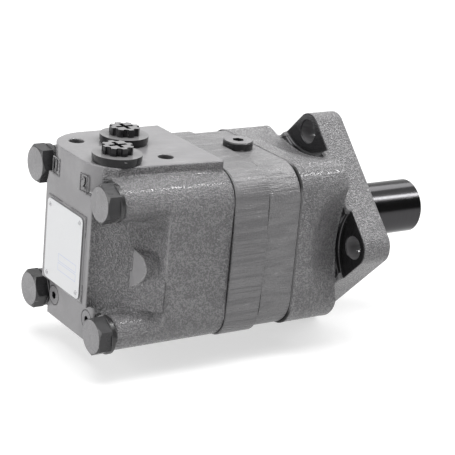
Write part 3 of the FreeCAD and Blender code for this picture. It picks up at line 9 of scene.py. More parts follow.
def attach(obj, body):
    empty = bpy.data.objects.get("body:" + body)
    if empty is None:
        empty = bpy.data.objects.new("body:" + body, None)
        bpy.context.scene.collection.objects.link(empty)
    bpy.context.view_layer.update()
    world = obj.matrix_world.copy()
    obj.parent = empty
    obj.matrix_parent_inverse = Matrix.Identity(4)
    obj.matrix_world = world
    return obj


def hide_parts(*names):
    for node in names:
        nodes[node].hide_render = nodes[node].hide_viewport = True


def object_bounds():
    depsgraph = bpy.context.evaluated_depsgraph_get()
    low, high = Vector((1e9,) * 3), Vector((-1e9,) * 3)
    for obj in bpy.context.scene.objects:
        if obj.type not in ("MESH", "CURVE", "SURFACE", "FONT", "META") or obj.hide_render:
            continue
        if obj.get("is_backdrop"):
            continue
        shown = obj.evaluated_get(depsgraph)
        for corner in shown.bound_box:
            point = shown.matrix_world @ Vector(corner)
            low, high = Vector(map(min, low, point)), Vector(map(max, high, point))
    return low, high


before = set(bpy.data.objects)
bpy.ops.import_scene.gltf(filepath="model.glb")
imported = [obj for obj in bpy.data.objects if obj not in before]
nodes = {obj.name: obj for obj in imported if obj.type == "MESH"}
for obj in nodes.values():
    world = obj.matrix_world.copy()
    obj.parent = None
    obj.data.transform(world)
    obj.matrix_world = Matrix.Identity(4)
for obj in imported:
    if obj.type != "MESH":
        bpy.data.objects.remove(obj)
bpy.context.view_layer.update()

# Orbital hydraulic motor: painted castings, port plugs, cap screws and a polished shaft.
# Everything is in metres, in the frame of the CAD model: X along the shaft, Z towards the ports.

MM = 0.001

# Mesh fineness of the dressed castings, and how often their corners and their soft walls are smoothed
VOXEL = 0.5 * MM
ROUNDS = 12
BLEND_ROUNDS = 9 * ROUNDS

# Stations along the stack
EAR_BACK = -18.5 * MM
FLANGE_REAR = -21.0 * MM
BEARING_SEAM = -54.0 * MM
GEROLER_REAR = -97.5 * MM
POCKET_STEP = -138.0 * MM
LUG_FACE = -165.2 * MM
LOWER_REAR = -168.0 * MM
UPPER_REAR = -172.7 * MM
REAR_STEP_Z = -25.2 * MM

# The stack's square, and what stands on it or goes into it
BODY_HALF = 47.7 * MM
PAD_TOP = 53.4 * MM
SCREW_HALF = 36.8 * MM
SCREWS = tuple((y, z) for y in (-SCREW_HALF, SCREW_HALF) for z in (-SCREW_HALF, SCREW_HALF))
CHECK_PLUGS = ((-19.0 * MM, -35.0 * MM), (19.0 * MM, -35.0 * MM))
PORTS = ((-155.9 * MM, -19.1 * MM), (-134.7 * MM, 11.1 * MM))
PAD_HOLES = tuple((x, y) for x in (-159.0 * MM, -126.5 * MM) for y in (-20.0 * MM, 20.0 * MM))
EAR_CIRCLE = 53.2 * MM
EARS = tuple((EAR_CIRCLE * math.cos(a), EAR_CIRCLE * math.sin(a))
             for a in (0, math.pi / 2, math.pi, 3 * math.pi / 2))
# How far out the cutter's axis lies that spot-faced the back of each ear
SPOT_FACE_AXIS = 74.0 * MM
# Middle of the raised mark beside the far port; the other one mirrors it
MARK_Y = 15.4 * MM
MARK_Z = 41.5 * MM

# The valve housing's core between its side pockets, half as wide as given at the lower rear face
CORE_HALF = 26.0 * MM
CORE_SPREAD = 0.6

# The round boss in each side pocket: its axis, and the slanted face that cuts its rear end
BOSS_RADIUS = 11.2 * MM
BOSS_MIDDLE = 31.5 * MM
BOSS_Z = -1.2 * MM
BOSS_FOOT = -152.0 * MM
BOSS_SLANT = 1.5

# The pocket's wall lies deeper above the boss, and runs out flush with the side below it.
# Each pair says where a form sets in and where it is full, or where it begins to end and has ended.
SUNK = 3.2 * MM
SUNK_ALONG = (-156 * MM, -141 * MM)
SUNK_FOOT = (-10 * MM, 4 * MM)
SUNK_HEAD = (19 * MM, 25 * MM)
FLUSH_ALONG = (-158 * MM, POCKET_STEP)
FLUSH_DOWN = (-4 * MM, 9 * MM)
WALL_REAR = -159 * MM
WALL_HALF_HEIGHT = 25 * MM
WALL_OUT = 46 * MM

# The port pad's near edge: the CAD corner's arc, and the line that the real edge follows
PAD_FOOT = 48 * MM
PAD_OUT = 36.5 * MM
CORNER_RADIUS = 24 * MM
CORNER_X = -147.2 * MM
CORNER_OUT = 11.2 * MM
EDGE_FRONT = -100 * MM
EDGE_OUT = 35.3 * MM
EDGE_SLOPE = 0.08

# Paint, what lies on it, and the painted shade and highlights laid over it
PAINT = (0.225, 0.221, 0.227, 1.0)
PAINT_DEEP = (0.12, 0.118, 0.122, 1.0)
# Colour of thin, worn paint, and of painted highlights
WORN_PAINT_AND_HIGHLIGHT = (0.36, 0.355, 0.36, 1.0)
DUST = (0.4, 0.39, 0.37, 1.0)
# Colour of the painted shade in crevices
CREVICE_PAINTED_SHADE = (0.018, 0.018, 0.019, 1.0)
# Colour of joint dirt and of the painted shade in gaps and recesses
SEAM_DIRT_AND_SHADE = (0.006, 0.006, 0.006, 1.0)


# Node helpers

def feed(tree, socket, value):
    """Links an input to another node's output, or gives it a constant value."""
    if isinstance(value, bpy.types.NodeSocket):
        tree.links.new(value, socket)
    else:
        socket.default_value = value


def add(tree, kind, settings=None, **values):
    """Adds a node; settings are its own properties, values its inputs by name, or by i and their number."""
    node = tree.nodes.new(kind)
    for key, value in (settings or {}).items():
        setattr(node, key, value)
    for key, value in values.items():
        numbered = key[0] == "i" and key[1:].isdigit()
        feed(tree, node.inputs[int(key[1:]) if numbered else key.replace("_", " ")], value)
    return node


def finish(tree, shader, **values):
    """Feeds the shader's inputs, named with _ for a space."""
    for key, value in values.items():
        feed(tree, shader.inputs[key.replace("_", " ")], value)


def math_node(tree, operation, a, b=0.0, clamp=False):
    return add(tree, "ShaderNodeMath", {"operation": operation, "use_clamp": clamp}, i0=a, i1=b).outputs[0]


def plus(tree, a, b):
    return math_node(tree, "ADD", a, b)


def minus(tree, a, b, clamp=False):
    return math_node(tree, "SUBTRACT", a, b, clamp)


def times(tree, a, b):
    return math_node(tree, "MULTIPLY", a, b)


def larger(tree, a, b):
    return math_node(tree, "MAXIMUM", a, b)


def size_of(tree, value):
    return math_node(tree, "ABSOLUTE", value)


def weigh(tree, base, *terms):
    """The base plus each term's value times its share."""
    for value, share in terms:
        base = plus(tree, base, times(tree, value, share))
    return base


def ramp(tree, factor, low, high):
    """0 below low, 1 above high, smooth between."""
    return add(tree, "ShaderNodeMapRange", {"interpolation_type": "SMOOTHSTEP"},
               i0=factor, i1=low, i2=high, i3=0.0, i4=1.0).outputs[0]


def mix_colour(tree, factor, a, b):
    node = add(tree, "ShaderNodeMix", {"data_type": "RGBA"}, i0=factor, i6=a, i7=b)
    return node.outputs[2]


def layers(tree, colour, *coats):
    """Lays colours over the first, each with its mask and the share at which it covers there."""
    for mask, share, over in coats:
        colour = mix_colour(tree, times(tree, mask, share), colour, over)
    return colour


def split(tree, vector):
    return add(tree, "ShaderNodeSeparateXYZ", None, i0=vector).outputs


def noise(tree, vector, scale, detail=3.0, roughness=0.55):
    return add(tree, "ShaderNodeTexNoise", None,
               Vector=vector, Scale=scale, Detail=detail, Roughness=roughness).outputs[0]


def attribute(tree, name, output="Fac"):
    return add(tree, "ShaderNodeAttribute", {"attribute_name": name}).outputs[output]


def group(name, inputs, outputs):
    """An empty shader node group with float and vector inputs and float outputs."""
    tree = bpy.data.node_groups.new(name, "ShaderNodeTree")
    for label, kind, default in inputs:
        socket = tree.interface.new_socket(name=label, in_out="INPUT", socket_type="NodeSocket" + kind)
        if default is not None:
            socket.default_value = default
    for label in outputs:
        tree.interface.new_socket(name=label, in_out="OUTPUT", socket_type="NodeSocketFloat")
    return tree, tree.nodes.new("NodeGroupInput").outputs, tree.nodes.new("NodeGroupOutput").inputs


def place(tree, source, **values):
    """Places a node group in a material."""
    return add(tree, "ShaderNodeGroup", {"node_tree": source}, **values).outputs


# Effects shared by materials

def make_cast_skin():
    """Orange peel of a painted sand casting: round grains of two sizes, and broad patches."""
    tree, put, out = group("Cast Skin", [("Vector", "Vector", None), ("Grain", "Float", 640.0)],
                           ["Height", "Patches", "Hollows"])
    cell_scale, broad_scale = 0.9, 0.33
    cell_share, broad_share = 0.35, 0.45
    patch_scale = 42.0
    fine = noise(tree, put["Vector"], put["Grain"], 2.0, 0.5)
    cells = add(tree, "ShaderNodeTexVoronoi", {"feature": "SMOOTH_F1"}, Vector=put["Vector"],
                Scale=times(tree, put["Grain"], cell_scale), Smoothness=0.9).outputs[0]
    broad = noise(tree, put["Vector"], times(tree, put["Grain"], broad_scale))
    height = weigh(tree, minus(tree, fine, times(tree, cells, cell_share)), (broad, broad_share))
    patches = noise(tree, put["Vector"], patch_scale, 4.0, 0.6)
    feed(tree, out["Height"], height)
    feed(tree, out["Patches"], ramp(tree, patches, 0.35, 0.68))
    feed(tree, out["Hollows"], ramp(tree, height, 0.72, 0.46))
    return tree


def make_cutter_lines():
    """Fine parallel marks that a milling cutter leaves, along X."""
    tree, put, out = group("Cutter Lines", [("Vector", "Vector", None), ("Along", "Float", 14.0),
                                            ("Across", "Float", 1500.0)], ["Height", "Streaks"])
    x, y, z = split(tree, put["Vector"])
    stretched = add(tree, "ShaderNodeCombineXYZ", None, i0=times(tree, x, put["Along"]),
                    i1=times(tree, y, put["Across"]), i2=times(tree, z, put["Across"])).outputs[0]
    line_share, wide_share = 0.6, 0.4
    lines = noise(tree, stretched, 1.0, 3.0, 0.6)
    wide = noise(tree, stretched, 0.45, 2.0, 0.5)
    feed(tree, out["Height"], weigh(tree, times(tree, lines, line_share), (wide, wide_share)))
    feed(tree, out["Streaks"], ramp(tree, wide, 0.42, 0.62))
    return tree


def make_turned_rings():
    """Rings that a turning or spot-facing tool leaves round an axis along X."""
    tree, put, out = group("Turned Rings", [("Vector", "Vector", None), ("Centre", "Vector", (0, 0, 0)),
                                            ("Pitch", "Float", 0.6 * MM)], ["Height", "Bands"])
    arm = add(tree, "ShaderNodeVectorMath", {"operation": "SUBTRACT"},
              i0=put["Vector"], i1=put["Centre"]).outputs[0]
    _, y, z = split(tree, arm)
    flat = add(tree, "ShaderNodeCombineXYZ", None, i1=y, i2=z).outputs[0]
    radius = add(tree, "ShaderNodeVectorMath", {"operation": "LENGTH"}, i0=flat).outputs["Value"]
    turns = math_node(tree, "DIVIDE", radius, put["Pitch"])
    wave = times(tree, math_node(tree, "SINE", times(tree, turns, 2 * math.pi)), 0.5)
    uneven = add(tree, "ShaderNodeTexNoise", {"noise_dimensions": "1D"},
                 W=turns, Scale=0.6, Detail=3.0).outputs[0]
    feed(tree, out["Height"], plus(tree, wave, uneven))
    feed(tree, out["Bands"], ramp(tree, uneven, 0.4, 0.62))
    return tree


def make_handling_wear():
    """Dust and small scuffs, each in its own patches."""
    tree, put, out = group("Handling Wear", [("Vector", "Vector", None), ("Amount", "Float", 0.5)],
                           ["Scuffs", "Dust"])
    long_marks = add(tree, "ShaderNodeMapping", None, Vector=put["Vector"],
                     Rotation=(0.5, 0.3, 0.8), Scale=(60.0, 900.0, 500.0)).outputs[0]
    scratches = ramp(tree, noise(tree, long_marks, 1.0, 1.0, 0.4), 0.68, 0.74)
    here = ramp(tree, noise(tree, put["Vector"], 70.0, 2.0), 0.5, 0.66)
    dust = ramp(tree, noise(tree, put["Vector"], 260.0, 4.0, 0.7), 0.56, 0.72)
    feed(tree, out["Scuffs"], times(tree, times(tree, scratches, here), put["Amount"]))
    feed(tree, out["Dust"], times(tree, dust, put["Amount"]))
    return tree


def make_crevice_shade():
    """Painted shade where surfaces meet: joints, the feet of heads and the roots of fillets, darker where
    ambient occlusion finds other surfaces close by.
    """
    tree, put, out = group("Crevice Shade", [("Reach", "Float", 4 * MM), ("Open", "Float", 0.85)], ["Mask"])
    near = add(tree, "ShaderNodeAmbientOcclusion", {"samples": 8}, Distance=put["Reach"]).outputs["AO"]
    feed(tree, out["Mask"], minus(tree, 1.0, math_node(tree, "DIVIDE", near, put["Open"], True), True))
    return tree


def make_ruled_box():
    """Outline of a printed box on the nameplate."""
    tree, put, out = group("Ruled Box", [
        ("Vector", "Vector", None), ("Centre Y", "Float", 0.0), ("Centre Z", "Float", 0.0),
        ("Half Width", "Float", 10 * MM), ("Half Height", "Float", 2 * MM),
        ("Line", "Float", 0.3 * MM)], ["Mask"])
    _, y, z = split(tree, put["Vector"])
    over_y = minus(tree, size_of(tree, minus(tree, y, put["Centre Y"])), put["Half Width"])
    over_z = minus(tree, size_of(tree, minus(tree, z, put["Centre Z"])), put["Half Height"])
    outside = size_of(tree, larger(tree, over_y, over_z))
    feed(tree, out["Mask"], math_node(tree, "LESS_THAN", outside, put["Line"]))
    return tree


CAST_SKIN = make_cast_skin()
CREVICE_SHADE = make_crevice_shade()
CUTTER_LINES = make_cutter_lines()
TURNED_RINGS = make_turned_rings()
HANDLING_WEAR = make_handling_wear()
RULED_BOX = make_ruled_box()


# Materials

def begin(name):
    """A material with its shader, and the place on the surface."""
    material = bpy.data.materials.new(name)
    material.use_nodes = True
    tree = material.node_tree
    shader = tree.nodes["Principled BSDF"]
    where = tree.nodes.new("ShaderNodeTexCoord").outputs["Object"]
    return material, tree, shader, where


def bump(tree, shader, height, distance):
    node = add(tree, "ShaderNodeBump", None, Strength=1.0, Distance=distance, Height=height)
    finish(tree, shader, Normal=node.outputs[0])


def paint_casting():
    """Grey paint over a casting: coarse skin where the sand was, smooth where a cutter went."""
    material, tree, shader, where = begin("painted_casting_skin")
    skin = place(tree, CAST_SKIN, Vector=where, Grain=1250.0)
    lines = place(tree, CUTTER_LINES, Vector=where, Along=20.0, Across=1100.0)
    wear = place(tree, HANDLING_WEAR, Vector=where, Amount=0.6)
    rings = place(tree, TURNED_RINGS, Vector=attribute(tree, "ear_arm", "Vector"), Pitch=0.9 * MM)
    # Painted shade in crevices, from ambient occlusion
    crevice_shade_mask = place(tree, CREVICE_SHADE, Reach=12.0 * MM, Open=0.8)["Mask"]
    machined, swirl, edge, seam = (attribute(tree, name) for name in ("machined", "swirl", "edge", "seam"))
    rough = minus(tree, 1.0, machined, True)
    # Near-black cut metal on the ears' backs and the wall beside them, darkened further as painted shade
    bared_and_shaded = layers(tree, (0.014, 0.014, 0.015, 1.0), (rings["Bands"], 0.35, (0.07, 0.069, 0.071, 1.0)))
    colour = layers(tree, PAINT,
                    (skin["Patches"], 0.35, PAINT_DEEP),
                    (times(tree, skin["Hollows"], rough), 0.9, PAINT_DEEP),
                    # Thinner paint on worn corners, and a painted highlight along the bosses' ridges
                    (edge, 0.45, WORN_PAINT_AND_HIGHLIGHT),
                    (wear["Scuffs"], 0.7, WORN_PAINT_AND_HIGHLIGHT),
                    (wear["Dust"], 0.12, DUST),
                    (swirl, 0.85, bared_and_shaded),
                    # Joint dirt, and painted shade in gaps and round the washers
                    (seam, 1.0, SEAM_DIRT_AND_SHADE),
                    (crevice_shade_mask, 0.9, CREVICE_PAINTED_SHADE))
    gloss = weigh(tree, 0.17, (skin["Patches"], 0.07), (machined, -0.06), (seam, 0.4))
    height = weigh(tree, times(tree, skin["Height"], larger(tree, rough, 0.05)),
                   (lines["Height"], times(tree, machined, 0.08)),
                   (rings["Height"], times(tree, swirl, 0.02)))
    # The grain's tops catch the light, less so on the flange
    on_flange = ramp(tree, split(tree, where)[0], FLANGE_REAR - 1.5 * MM, FLANGE_REAR)
    glints = times(tree, ramp(tree, skin["Height"], 0.58, 0.76), rough)
    glints = times(tree, glints, minus(tree, 1.0, times(tree, on_flange, 0.85)))
    finish(tree, shader, Base_Color=colour, Roughness=gloss, Metallic=times(tree, swirl, 0.9),
           Coat_Weight=times(tree, glints, 0.95), Coat_Roughness=0.15, Specular_IOR_Level=0.5)
    bump(tree, shader, height, 1.0 * MM)
    return material


def facing(tree, axis):
    """1 on faces square to the axis, 0 on the sides round it."""
    normal = tree.nodes.new("ShaderNodeTexCoord").outputs["Normal"]
    return ramp(tree, size_of(tree, split(tree, normal)[axis]), 0.88, 0.975)


def paint_steel(name, along, across, depth, streak, colour=PAINT, deep=PAINT_DEEP, gloss=0.27,
                axis=None, side=PAINT_DEEP, reach=3.0 * MM, scratches=0.8, shine=0.5):
    """The same paint over a machined piece, with the cutter's lines showing through.

    Where an axis is given, the faces that stand along it take the darker colour of the side, as painted shade.
    """
    material, tree, shader, where = begin(name)
    lines = place(tree, CUTTER_LINES, Vector=where, Along=along, Across=across)
    skin = place(tree, CAST_SKIN, Vector=where, Grain=900.0)
    wear = place(tree, HANDLING_WEAR, Vector=where, Amount=scratches)
    # Painted shade in crevices, from ambient occlusion
    crevice_shade_mask = place(tree, CREVICE_SHADE, Reach=reach, Open=0.9)["Mask"]
    tint = layers(tree, colour, (lines["Streaks"], streak, deep))
    # Painted shade on the faces that stand along the axis
    if axis is not None:
        tint = mix_colour(tree, facing(tree, axis), side, tint)
    tint = layers(tree, tint, (skin["Patches"], 0.25, deep), (wear["Scuffs"], 0.8, WORN_PAINT_AND_HIGHLIGHT),
                  (crevice_shade_mask, 0.95, CREVICE_PAINTED_SHADE))
    finish(tree, shader, Base_Color=tint, Roughness=weigh(tree, gloss, (lines["Streaks"], 0.08)),
           Specular_IOR_Level=shine)
    bump(tree, shader, weigh(tree, lines["Height"], (skin["Height"], 0.4)), depth)
    return material


def bare_metal(name, colour, deep, rough):
    """Turned or ground metal with rings and a slight unevenness of shine."""
    material, tree, shader, where = begin(name)
    rings = place(tree, TURNED_RINGS, Vector=where)
    wear = place(tree, HANDLING_WEAR, Vector=where, Amount=0.5)
    tint = layers(tree, colour, (rings["Bands"], 0.4, deep), (wear["Dust"], 0.3, deep))
    finish(tree, shader, Base_Color=tint, Roughness=weigh(tree, rough, (wear["Scuffs"], 0.15)), Metallic=1.0)
    bump(tree, shader, rings["Height"], 0.01 * MM)
    return material


def shaft_steel():
    """Polished shaft with fine grinding lines round it."""
    material, tree, shader, where = begin("polished_shaft_steel")
    lines = place(tree, CUTTER_LINES, Vector=where, Along=3200.0, Across=12.0)
    wear = place(tree, HANDLING_WEAR, Vector=where, Amount=0.5)
    tint = layers(tree, (0.05, 0.049, 0.051, 1.0), (lines["Streaks"], 0.3, (0.036, 0.035, 0.037, 1.0)))
    finish(tree, shader, Base_Color=tint, Roughness=weigh(tree, 0.16, (wear["Dust"], 0.12)), Metallic=1.0,
           Specular_Tint=(0.8, 0.8, 0.8, 1.0))
    bump(tree, shader, lines["Height"], 0.004 * MM)
    return material


def rubber(name, colour, deep):
    material, tree, shader, where = begin(name)
    skin = place(tree, CAST_SKIN, Vector=where, Grain=1400.0)
    finish(tree, shader, Base_Color=mix_colour(tree, skin["Patches"], colour, deep),
           Roughness=weigh(tree, 0.5, (skin["Hollows"], 0.2)))
    bump(tree, shader, skin["Height"], 0.03 * MM)
    return material


def white_plate():
    """White enamelled plate with two empty ruled boxes in its lower half, and grey edges."""
    material, tree, shader, where = begin("white_enamel_plate")
    wear = place(tree, HANDLING_WEAR, Vector=where, Amount=0.6)
    upper, lower = (place(tree, RULED_BOX, Vector=where, Centre_Y=-5.5 * MM, Centre_Z=z, Half_Width=10.0 * MM,
                          Half_Height=2.0 * MM, Line=0.16 * MM)["Mask"] for z in (-6.4 * MM, -11.6 * MM))
    tint = layers(tree, (0.6, 0.605, 0.615, 1.0), (wear["Dust"], 0.3, (0.5, 0.5, 0.5, 1.0)),
                  (larger(tree, upper, lower), 0.75, (0.36, 0.42, 0.62, 1.0)))
    finish(tree, shader, Base_Color=mix_colour(tree, facing(tree, 0), (0.2, 0.2, 0.205, 1.0), tint),
           Roughness=weigh(tree, 0.32, (wear["Scuffs"], 0.3)))
    bump(tree, shader, wear["Dust"], 0.01 * MM)
    return material


# Shaping the castings. p is an array of points, one row each.

def new_object(name, data):
    """An object that is in the scene."""
    obj = bpy.data.objects.new(name, data)
    bpy.context.scene.collection.objects.link(obj)
    return obj


def mesh_of(obj):
    """The object's mesh as its modifiers leave it; the object itself goes."""
    graph = bpy.context.evaluated_depsgraph_get()
    mesh = bpy.data.meshes.new_from_object(obj.evaluated_get(graph))
    bpy.data.objects.remove(obj)
    return mesh


def points_of(mesh):
    points = np.empty(len(mesh.vertices) * 3, np.float64)
    mesh.vertices.foreach_get("co", points)
    return points.reshape(-1, 3)


def vertex_normals(mesh):
    normals = np.empty(len(mesh.vertices) * 3, np.float32)
    mesh.vertices.foreach_get("normal", normals)
    return normals.reshape(-1, 3)


def smooth_edges(mesh, share, rounds):
    """Rounds a dense mesh's corners where share is 1, and leaves it alone where share is 0."""
    pull_strength = 0.6
    points = points_of(mesh)
    count = len(points)
    ends = np.empty(len(mesh.edges) * 2, np.int64)
    mesh.edges.foreach_get("vertices", ends)
    a, b = ends[0::2], ends[1::2]
    links = np.bincount(a, minlength=count) + np.bincount(b, minlength=count)
    weight = (share / np.maximum(links, 1))[:, None]
    for _ in range(rounds):
        pull = np.empty_like(points)
        for axis in range(3):
            values = points[:, axis]
            pull[:, axis] = np.bincount(a, values[b], count) + np.bincount(b, values[a], count) - links * values
        points += pull_strength * weight * pull
    mesh.vertices.foreach_set("co", points.reshape(-1))
    mesh.update()
    return points


def store(mesh, name, values, kind="FLOAT"):
    """Keeps a value or a vector for each point, for the material to read."""
    layer = mesh.attributes.new(name, kind, "POINT")
    layer.data.foreach_set("value" if kind == "FLOAT" else "vector",
                           np.ascontiguousarray(values, dtype=np.float32).reshape(-1))


def store_swirl(mesh, p, machined):
    """Marks the spot-faced backs of the ears, painted near black as cut metal and as painted shade, and how far
    each point lies from its ear's axis.
    """
    x, y, z = p.T
    slack, inner = 0.4 * MM, 40.2 * MM
    on_ear = (x > FLANGE_REAR - slack) & (x < EAR_BACK + slack) & (machined > 0.5)
    on_ear &= np.maximum(np.abs(y), np.abs(z)) > inner
    store(mesh, "swirl", on_ear.astype(float))
    upright = np.abs(z) > np.abs(y)
    arm = p.copy()
    arm[:, 2] -= np.where(upright, np.sign(z), 0.0) * SPOT_FACE_AXIS
    arm[:, 1] -= np.where(upright, 0.0, np.sign(y)) * SPOT_FACE_AXIS
    store(mesh, "ear_arm", arm, "FLOAT_VECTOR")


def fade(values, low, high):
    """0 at low and below, 1 at high and above, smooth between."""
    t = np.clip((values - low) / (high - low), 0, 1)
    return t * t * (3 - 2 * t)


def away_from(p, centres, axes, reach, margin=1.0 * MM):
    """0 inside reach of any of the centres, measured in the two axes given, 1 outside."""
    share = np.ones(len(p))
    for centre in centres:
        gap = np.hypot(p[:, axes[0]] - centre[0], p[:, axes[1]] - centre[1])
        share *= fade(gap, reach, reach + margin)
    return share


def seam_dirt_and_shade(p, station, half):
    """Dark joint line at a station along X, full over about half of its width: dirt in the joint and painted
    shade in its gap.
    """
    return 1 - fade(np.abs(p[:, 0] - station), half * 0.55, half)


def dress_casting(node, share_of, finish_of, blend_of, form_of=None):
    """A dense copy of a casting with rounded cast corners, which stands for its CAD node.

    share_of says where corners are rounded, blend_of where walls run far into each other, form_of moves the
    points to a form of their own and gives the ridges that get a painted highlight, and finish_of says where a
    cutter went and where joint dirt and painted shade sit.
    """
    source = nodes[node]
    work = new_object(node + "_work", source.data.copy())
    remesh = work.modifiers.new("skin", "REMESH")
    remesh.mode = "VOXEL"
    remesh.voxel_size = VOXEL
    wrap = work.modifiers.new("wrap", "SHRINKWRAP")
    wrap.target = source
    wrap.wrap_method = "NEAREST_SURFACEPOINT"
    mesh = mesh_of(work)
    start = points_of(mesh)
    normals = vertex_normals(mesh)
    share = share_of(start)
    blend = blend_of(start)
    smooth_edges(mesh, share, ROUNDS)
    moved = smooth_edges(mesh, share * blend, BLEND_ROUNDS)
    lost = ((start - moved) * vertex_normals(mesh)).sum(1)
    wear_and_highlight = fade(lost, 0.15 * MM, 0.7 * MM) * (1 - blend)
    if form_of:
        moved, rim = form_of(moved)
        mesh.vertices.foreach_set("co", moved.reshape(-1))
        reshaped = np.abs(moved - start).max(1) > 0.05 * MM
        start = smooth_edges(mesh, reshaped * share, 2)
        # Painted highlight along the bosses' ridges, on top of the worn corners
        wear_and_highlight = np.maximum(wear_and_highlight * (share > 0.3), 1.6 * rim)
    machined, seam = finish_of(start, normals, share)
    store(mesh, "edge", wear_and_highlight)
    store(mesh, "machined", machined)
    store_swirl(mesh, start, machined)
    # Joint dirt and painted shade, for the material to darken
    store(mesh, "seam", seam)
    mesh.materials.clear()
    piece = new_object(node + "_casting", mesh)
    mesh.shade_smooth()
    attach(piece, "housing")
    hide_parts(node)
    return piece


# Valve housing

def core_wall(x):
    """Half width of the valve housing's core, which widens towards the front."""
    return CORE_HALF + CORE_SPREAD * np.maximum(x - LOWER_REAR, 0)


def boss_form(p):
    """How far out the boss's round top and its slanted rear face lie at each point's place on the wall."""
    buried = 20 * MM
    drop = p[:, 2] - BOSS_Z
    beside = np.abs(drop) > BOSS_RADIUS
    top = BOSS_MIDDLE + np.sqrt(np.maximum(BOSS_RADIUS ** 2 - drop ** 2, 0)) - buried * beside
    face = core_wall(BOSS_FOOT) + BOSS_SLANT * (p[:, 0] - BOSS_FOOT)
    return top, face


def shape_wall(p, moved):
    """Sets the boss on each pocket's wall, sinks the wall above it and runs it out flush below it.

    Answers where the ridge between the boss's round top and its slanted face lies, which is painted lighter as
    a highlight.
    """
    x, y, z = p.T
    out = np.abs(y)
    wall = core_wall(x)
    top, face = boss_form(p)
    boss = np.minimum(top, face)
    sunk = SUNK * fade(x, *SUNK_ALONG) * fade(z, *SUNK_FOOT) * (1 - fade(z, *SUNK_HEAD))
    flush = (BODY_HALF - core_wall(POCKET_STEP)) * fade(x, *FLUSH_ALONG) * fade(-z, *FLUSH_DOWN)
    form = np.minimum(np.maximum(wall - sunk + flush, boss), BODY_HALF)
    step_slack, wall_slack, ridge_half, boss_rise = 0.3 * MM, 1.2 * MM, 0.55 * MM, 0.4 * MM
    on_step = x > POCKET_STEP - step_slack
    form = np.where(on_step, np.maximum(form, out), form)
    here = (x > WALL_REAR) & (x < POCKET_STEP + step_slack) & (np.abs(z) < WALL_HALF_HEIGHT)
    here &= (out > wall - wall_slack) & (out < np.where(on_step, BODY_HALF - 0.05 * MM, WALL_OUT))
    moved[here, 1] = (np.sign(y) * form)[here]
    return here & (np.abs(face - top) < ridge_half) & (boss > wall + boss_rise)


def shape_pad(p, moved):
    """Lets the port pad's near edge run in towards the rear."""
    x, y, z = p.T
    near_pad = (z > PAD_FOOT) & (y < 0) & (y > -PAD_OUT)
    cad_edge = CORNER_OUT + np.sqrt(np.maximum(CORNER_RADIUS ** 2 - np.minimum(x - CORNER_X, 0) ** 2, 0))
    run_in = np.maximum(cad_edge - (EDGE_OUT + EDGE_SLOPE * (x - EDGE_FRONT)), 0)
    run_in *= fade(-y, 25.5 * MM, 31 * MM) * fade(EDGE_FRONT - x, 0, 12 * MM)
    moved[near_pad, 1] += run_in[near_pad]


def shape_valve_housing(p):
    """The points of the valve housing's own form, and 1 along the ridges of its bosses, where a painted
    highlight goes.
    """
    moved = p.copy()
    rim = shape_wall(p, moved)
    shape_pad(p, moved)
    return moved, rim.astype(float)


def valve_share(p):
    """1 on the cast skin, 0 in bores and on cut faces, less on the pad's and the rear face's edges."""
    x, y, z = p.T
    screw_bore, port_bore, pad_bore, plug_bore, plug_depth = 7.5 * MM, 10.9 * MM, 5.6 * MM, 5.6 * MM, 14 * MM
    ports_foot, pad_flank = 30 * MM, (48.5 * MM, 50 * MM)
    skin = np.minimum(WALL_OUT, core_wall(x) - 0.7 * MM)
    share = fade(np.hypot(y, z), skin - 0.5 * MM, skin)
    share *= away_from(p, SCREWS, (1, 2), screw_bore)
    holes = away_from(p, PORTS, (0, 1), port_bore, 0.5 * MM) * away_from(p, PAD_HOLES, (0, 1), pad_bore)
    share *= np.where(z > ports_foot, holes, 1.0)
    share *= np.where(x < LOWER_REAR + plug_depth, away_from(p, CHECK_PLUGS, (1, 2), plug_bore), 1.0)
    share *= fade(PAD_TOP - z, 0.3 * MM, 1.2 * MM) * (1 - 0.75 * fade(z, *pad_flank))
    share *= fade(GEROLER_REAR - x, 0.6 * MM, 1.4 * MM)
    rear = np.where(z > REAR_STEP_Z, UPPER_REAR, LOWER_REAR)
    share *= np.clip(0.25 + fade(x - rear, 0.3 * MM, 1.5 * MM), 0, 1)
    return share


def pocket_blend(p):
    """1 where the walls of a side pocket run into each other, further forward in its lower half."""
    x, y, z = p.T
    lower_half = fade(-z, -4 * MM, 14 * MM)
    end = POCKET_STEP - 1.5 * MM + lower_half * 5 * MM
    along = fade(x, LOWER_REAR - 3 * MM, LOWER_REAR) * (1 - fade(x, end, end + 3 * MM))
    up = 1 - fade(np.abs(z), 36 * MM, 42 * MM)
    rim = fade(np.abs(y), 23 * MM, 25 * MM) * (1 - 0.5 * fade(np.abs(y), 46.5 * MM, 47.4 * MM))
    return along * up * rim


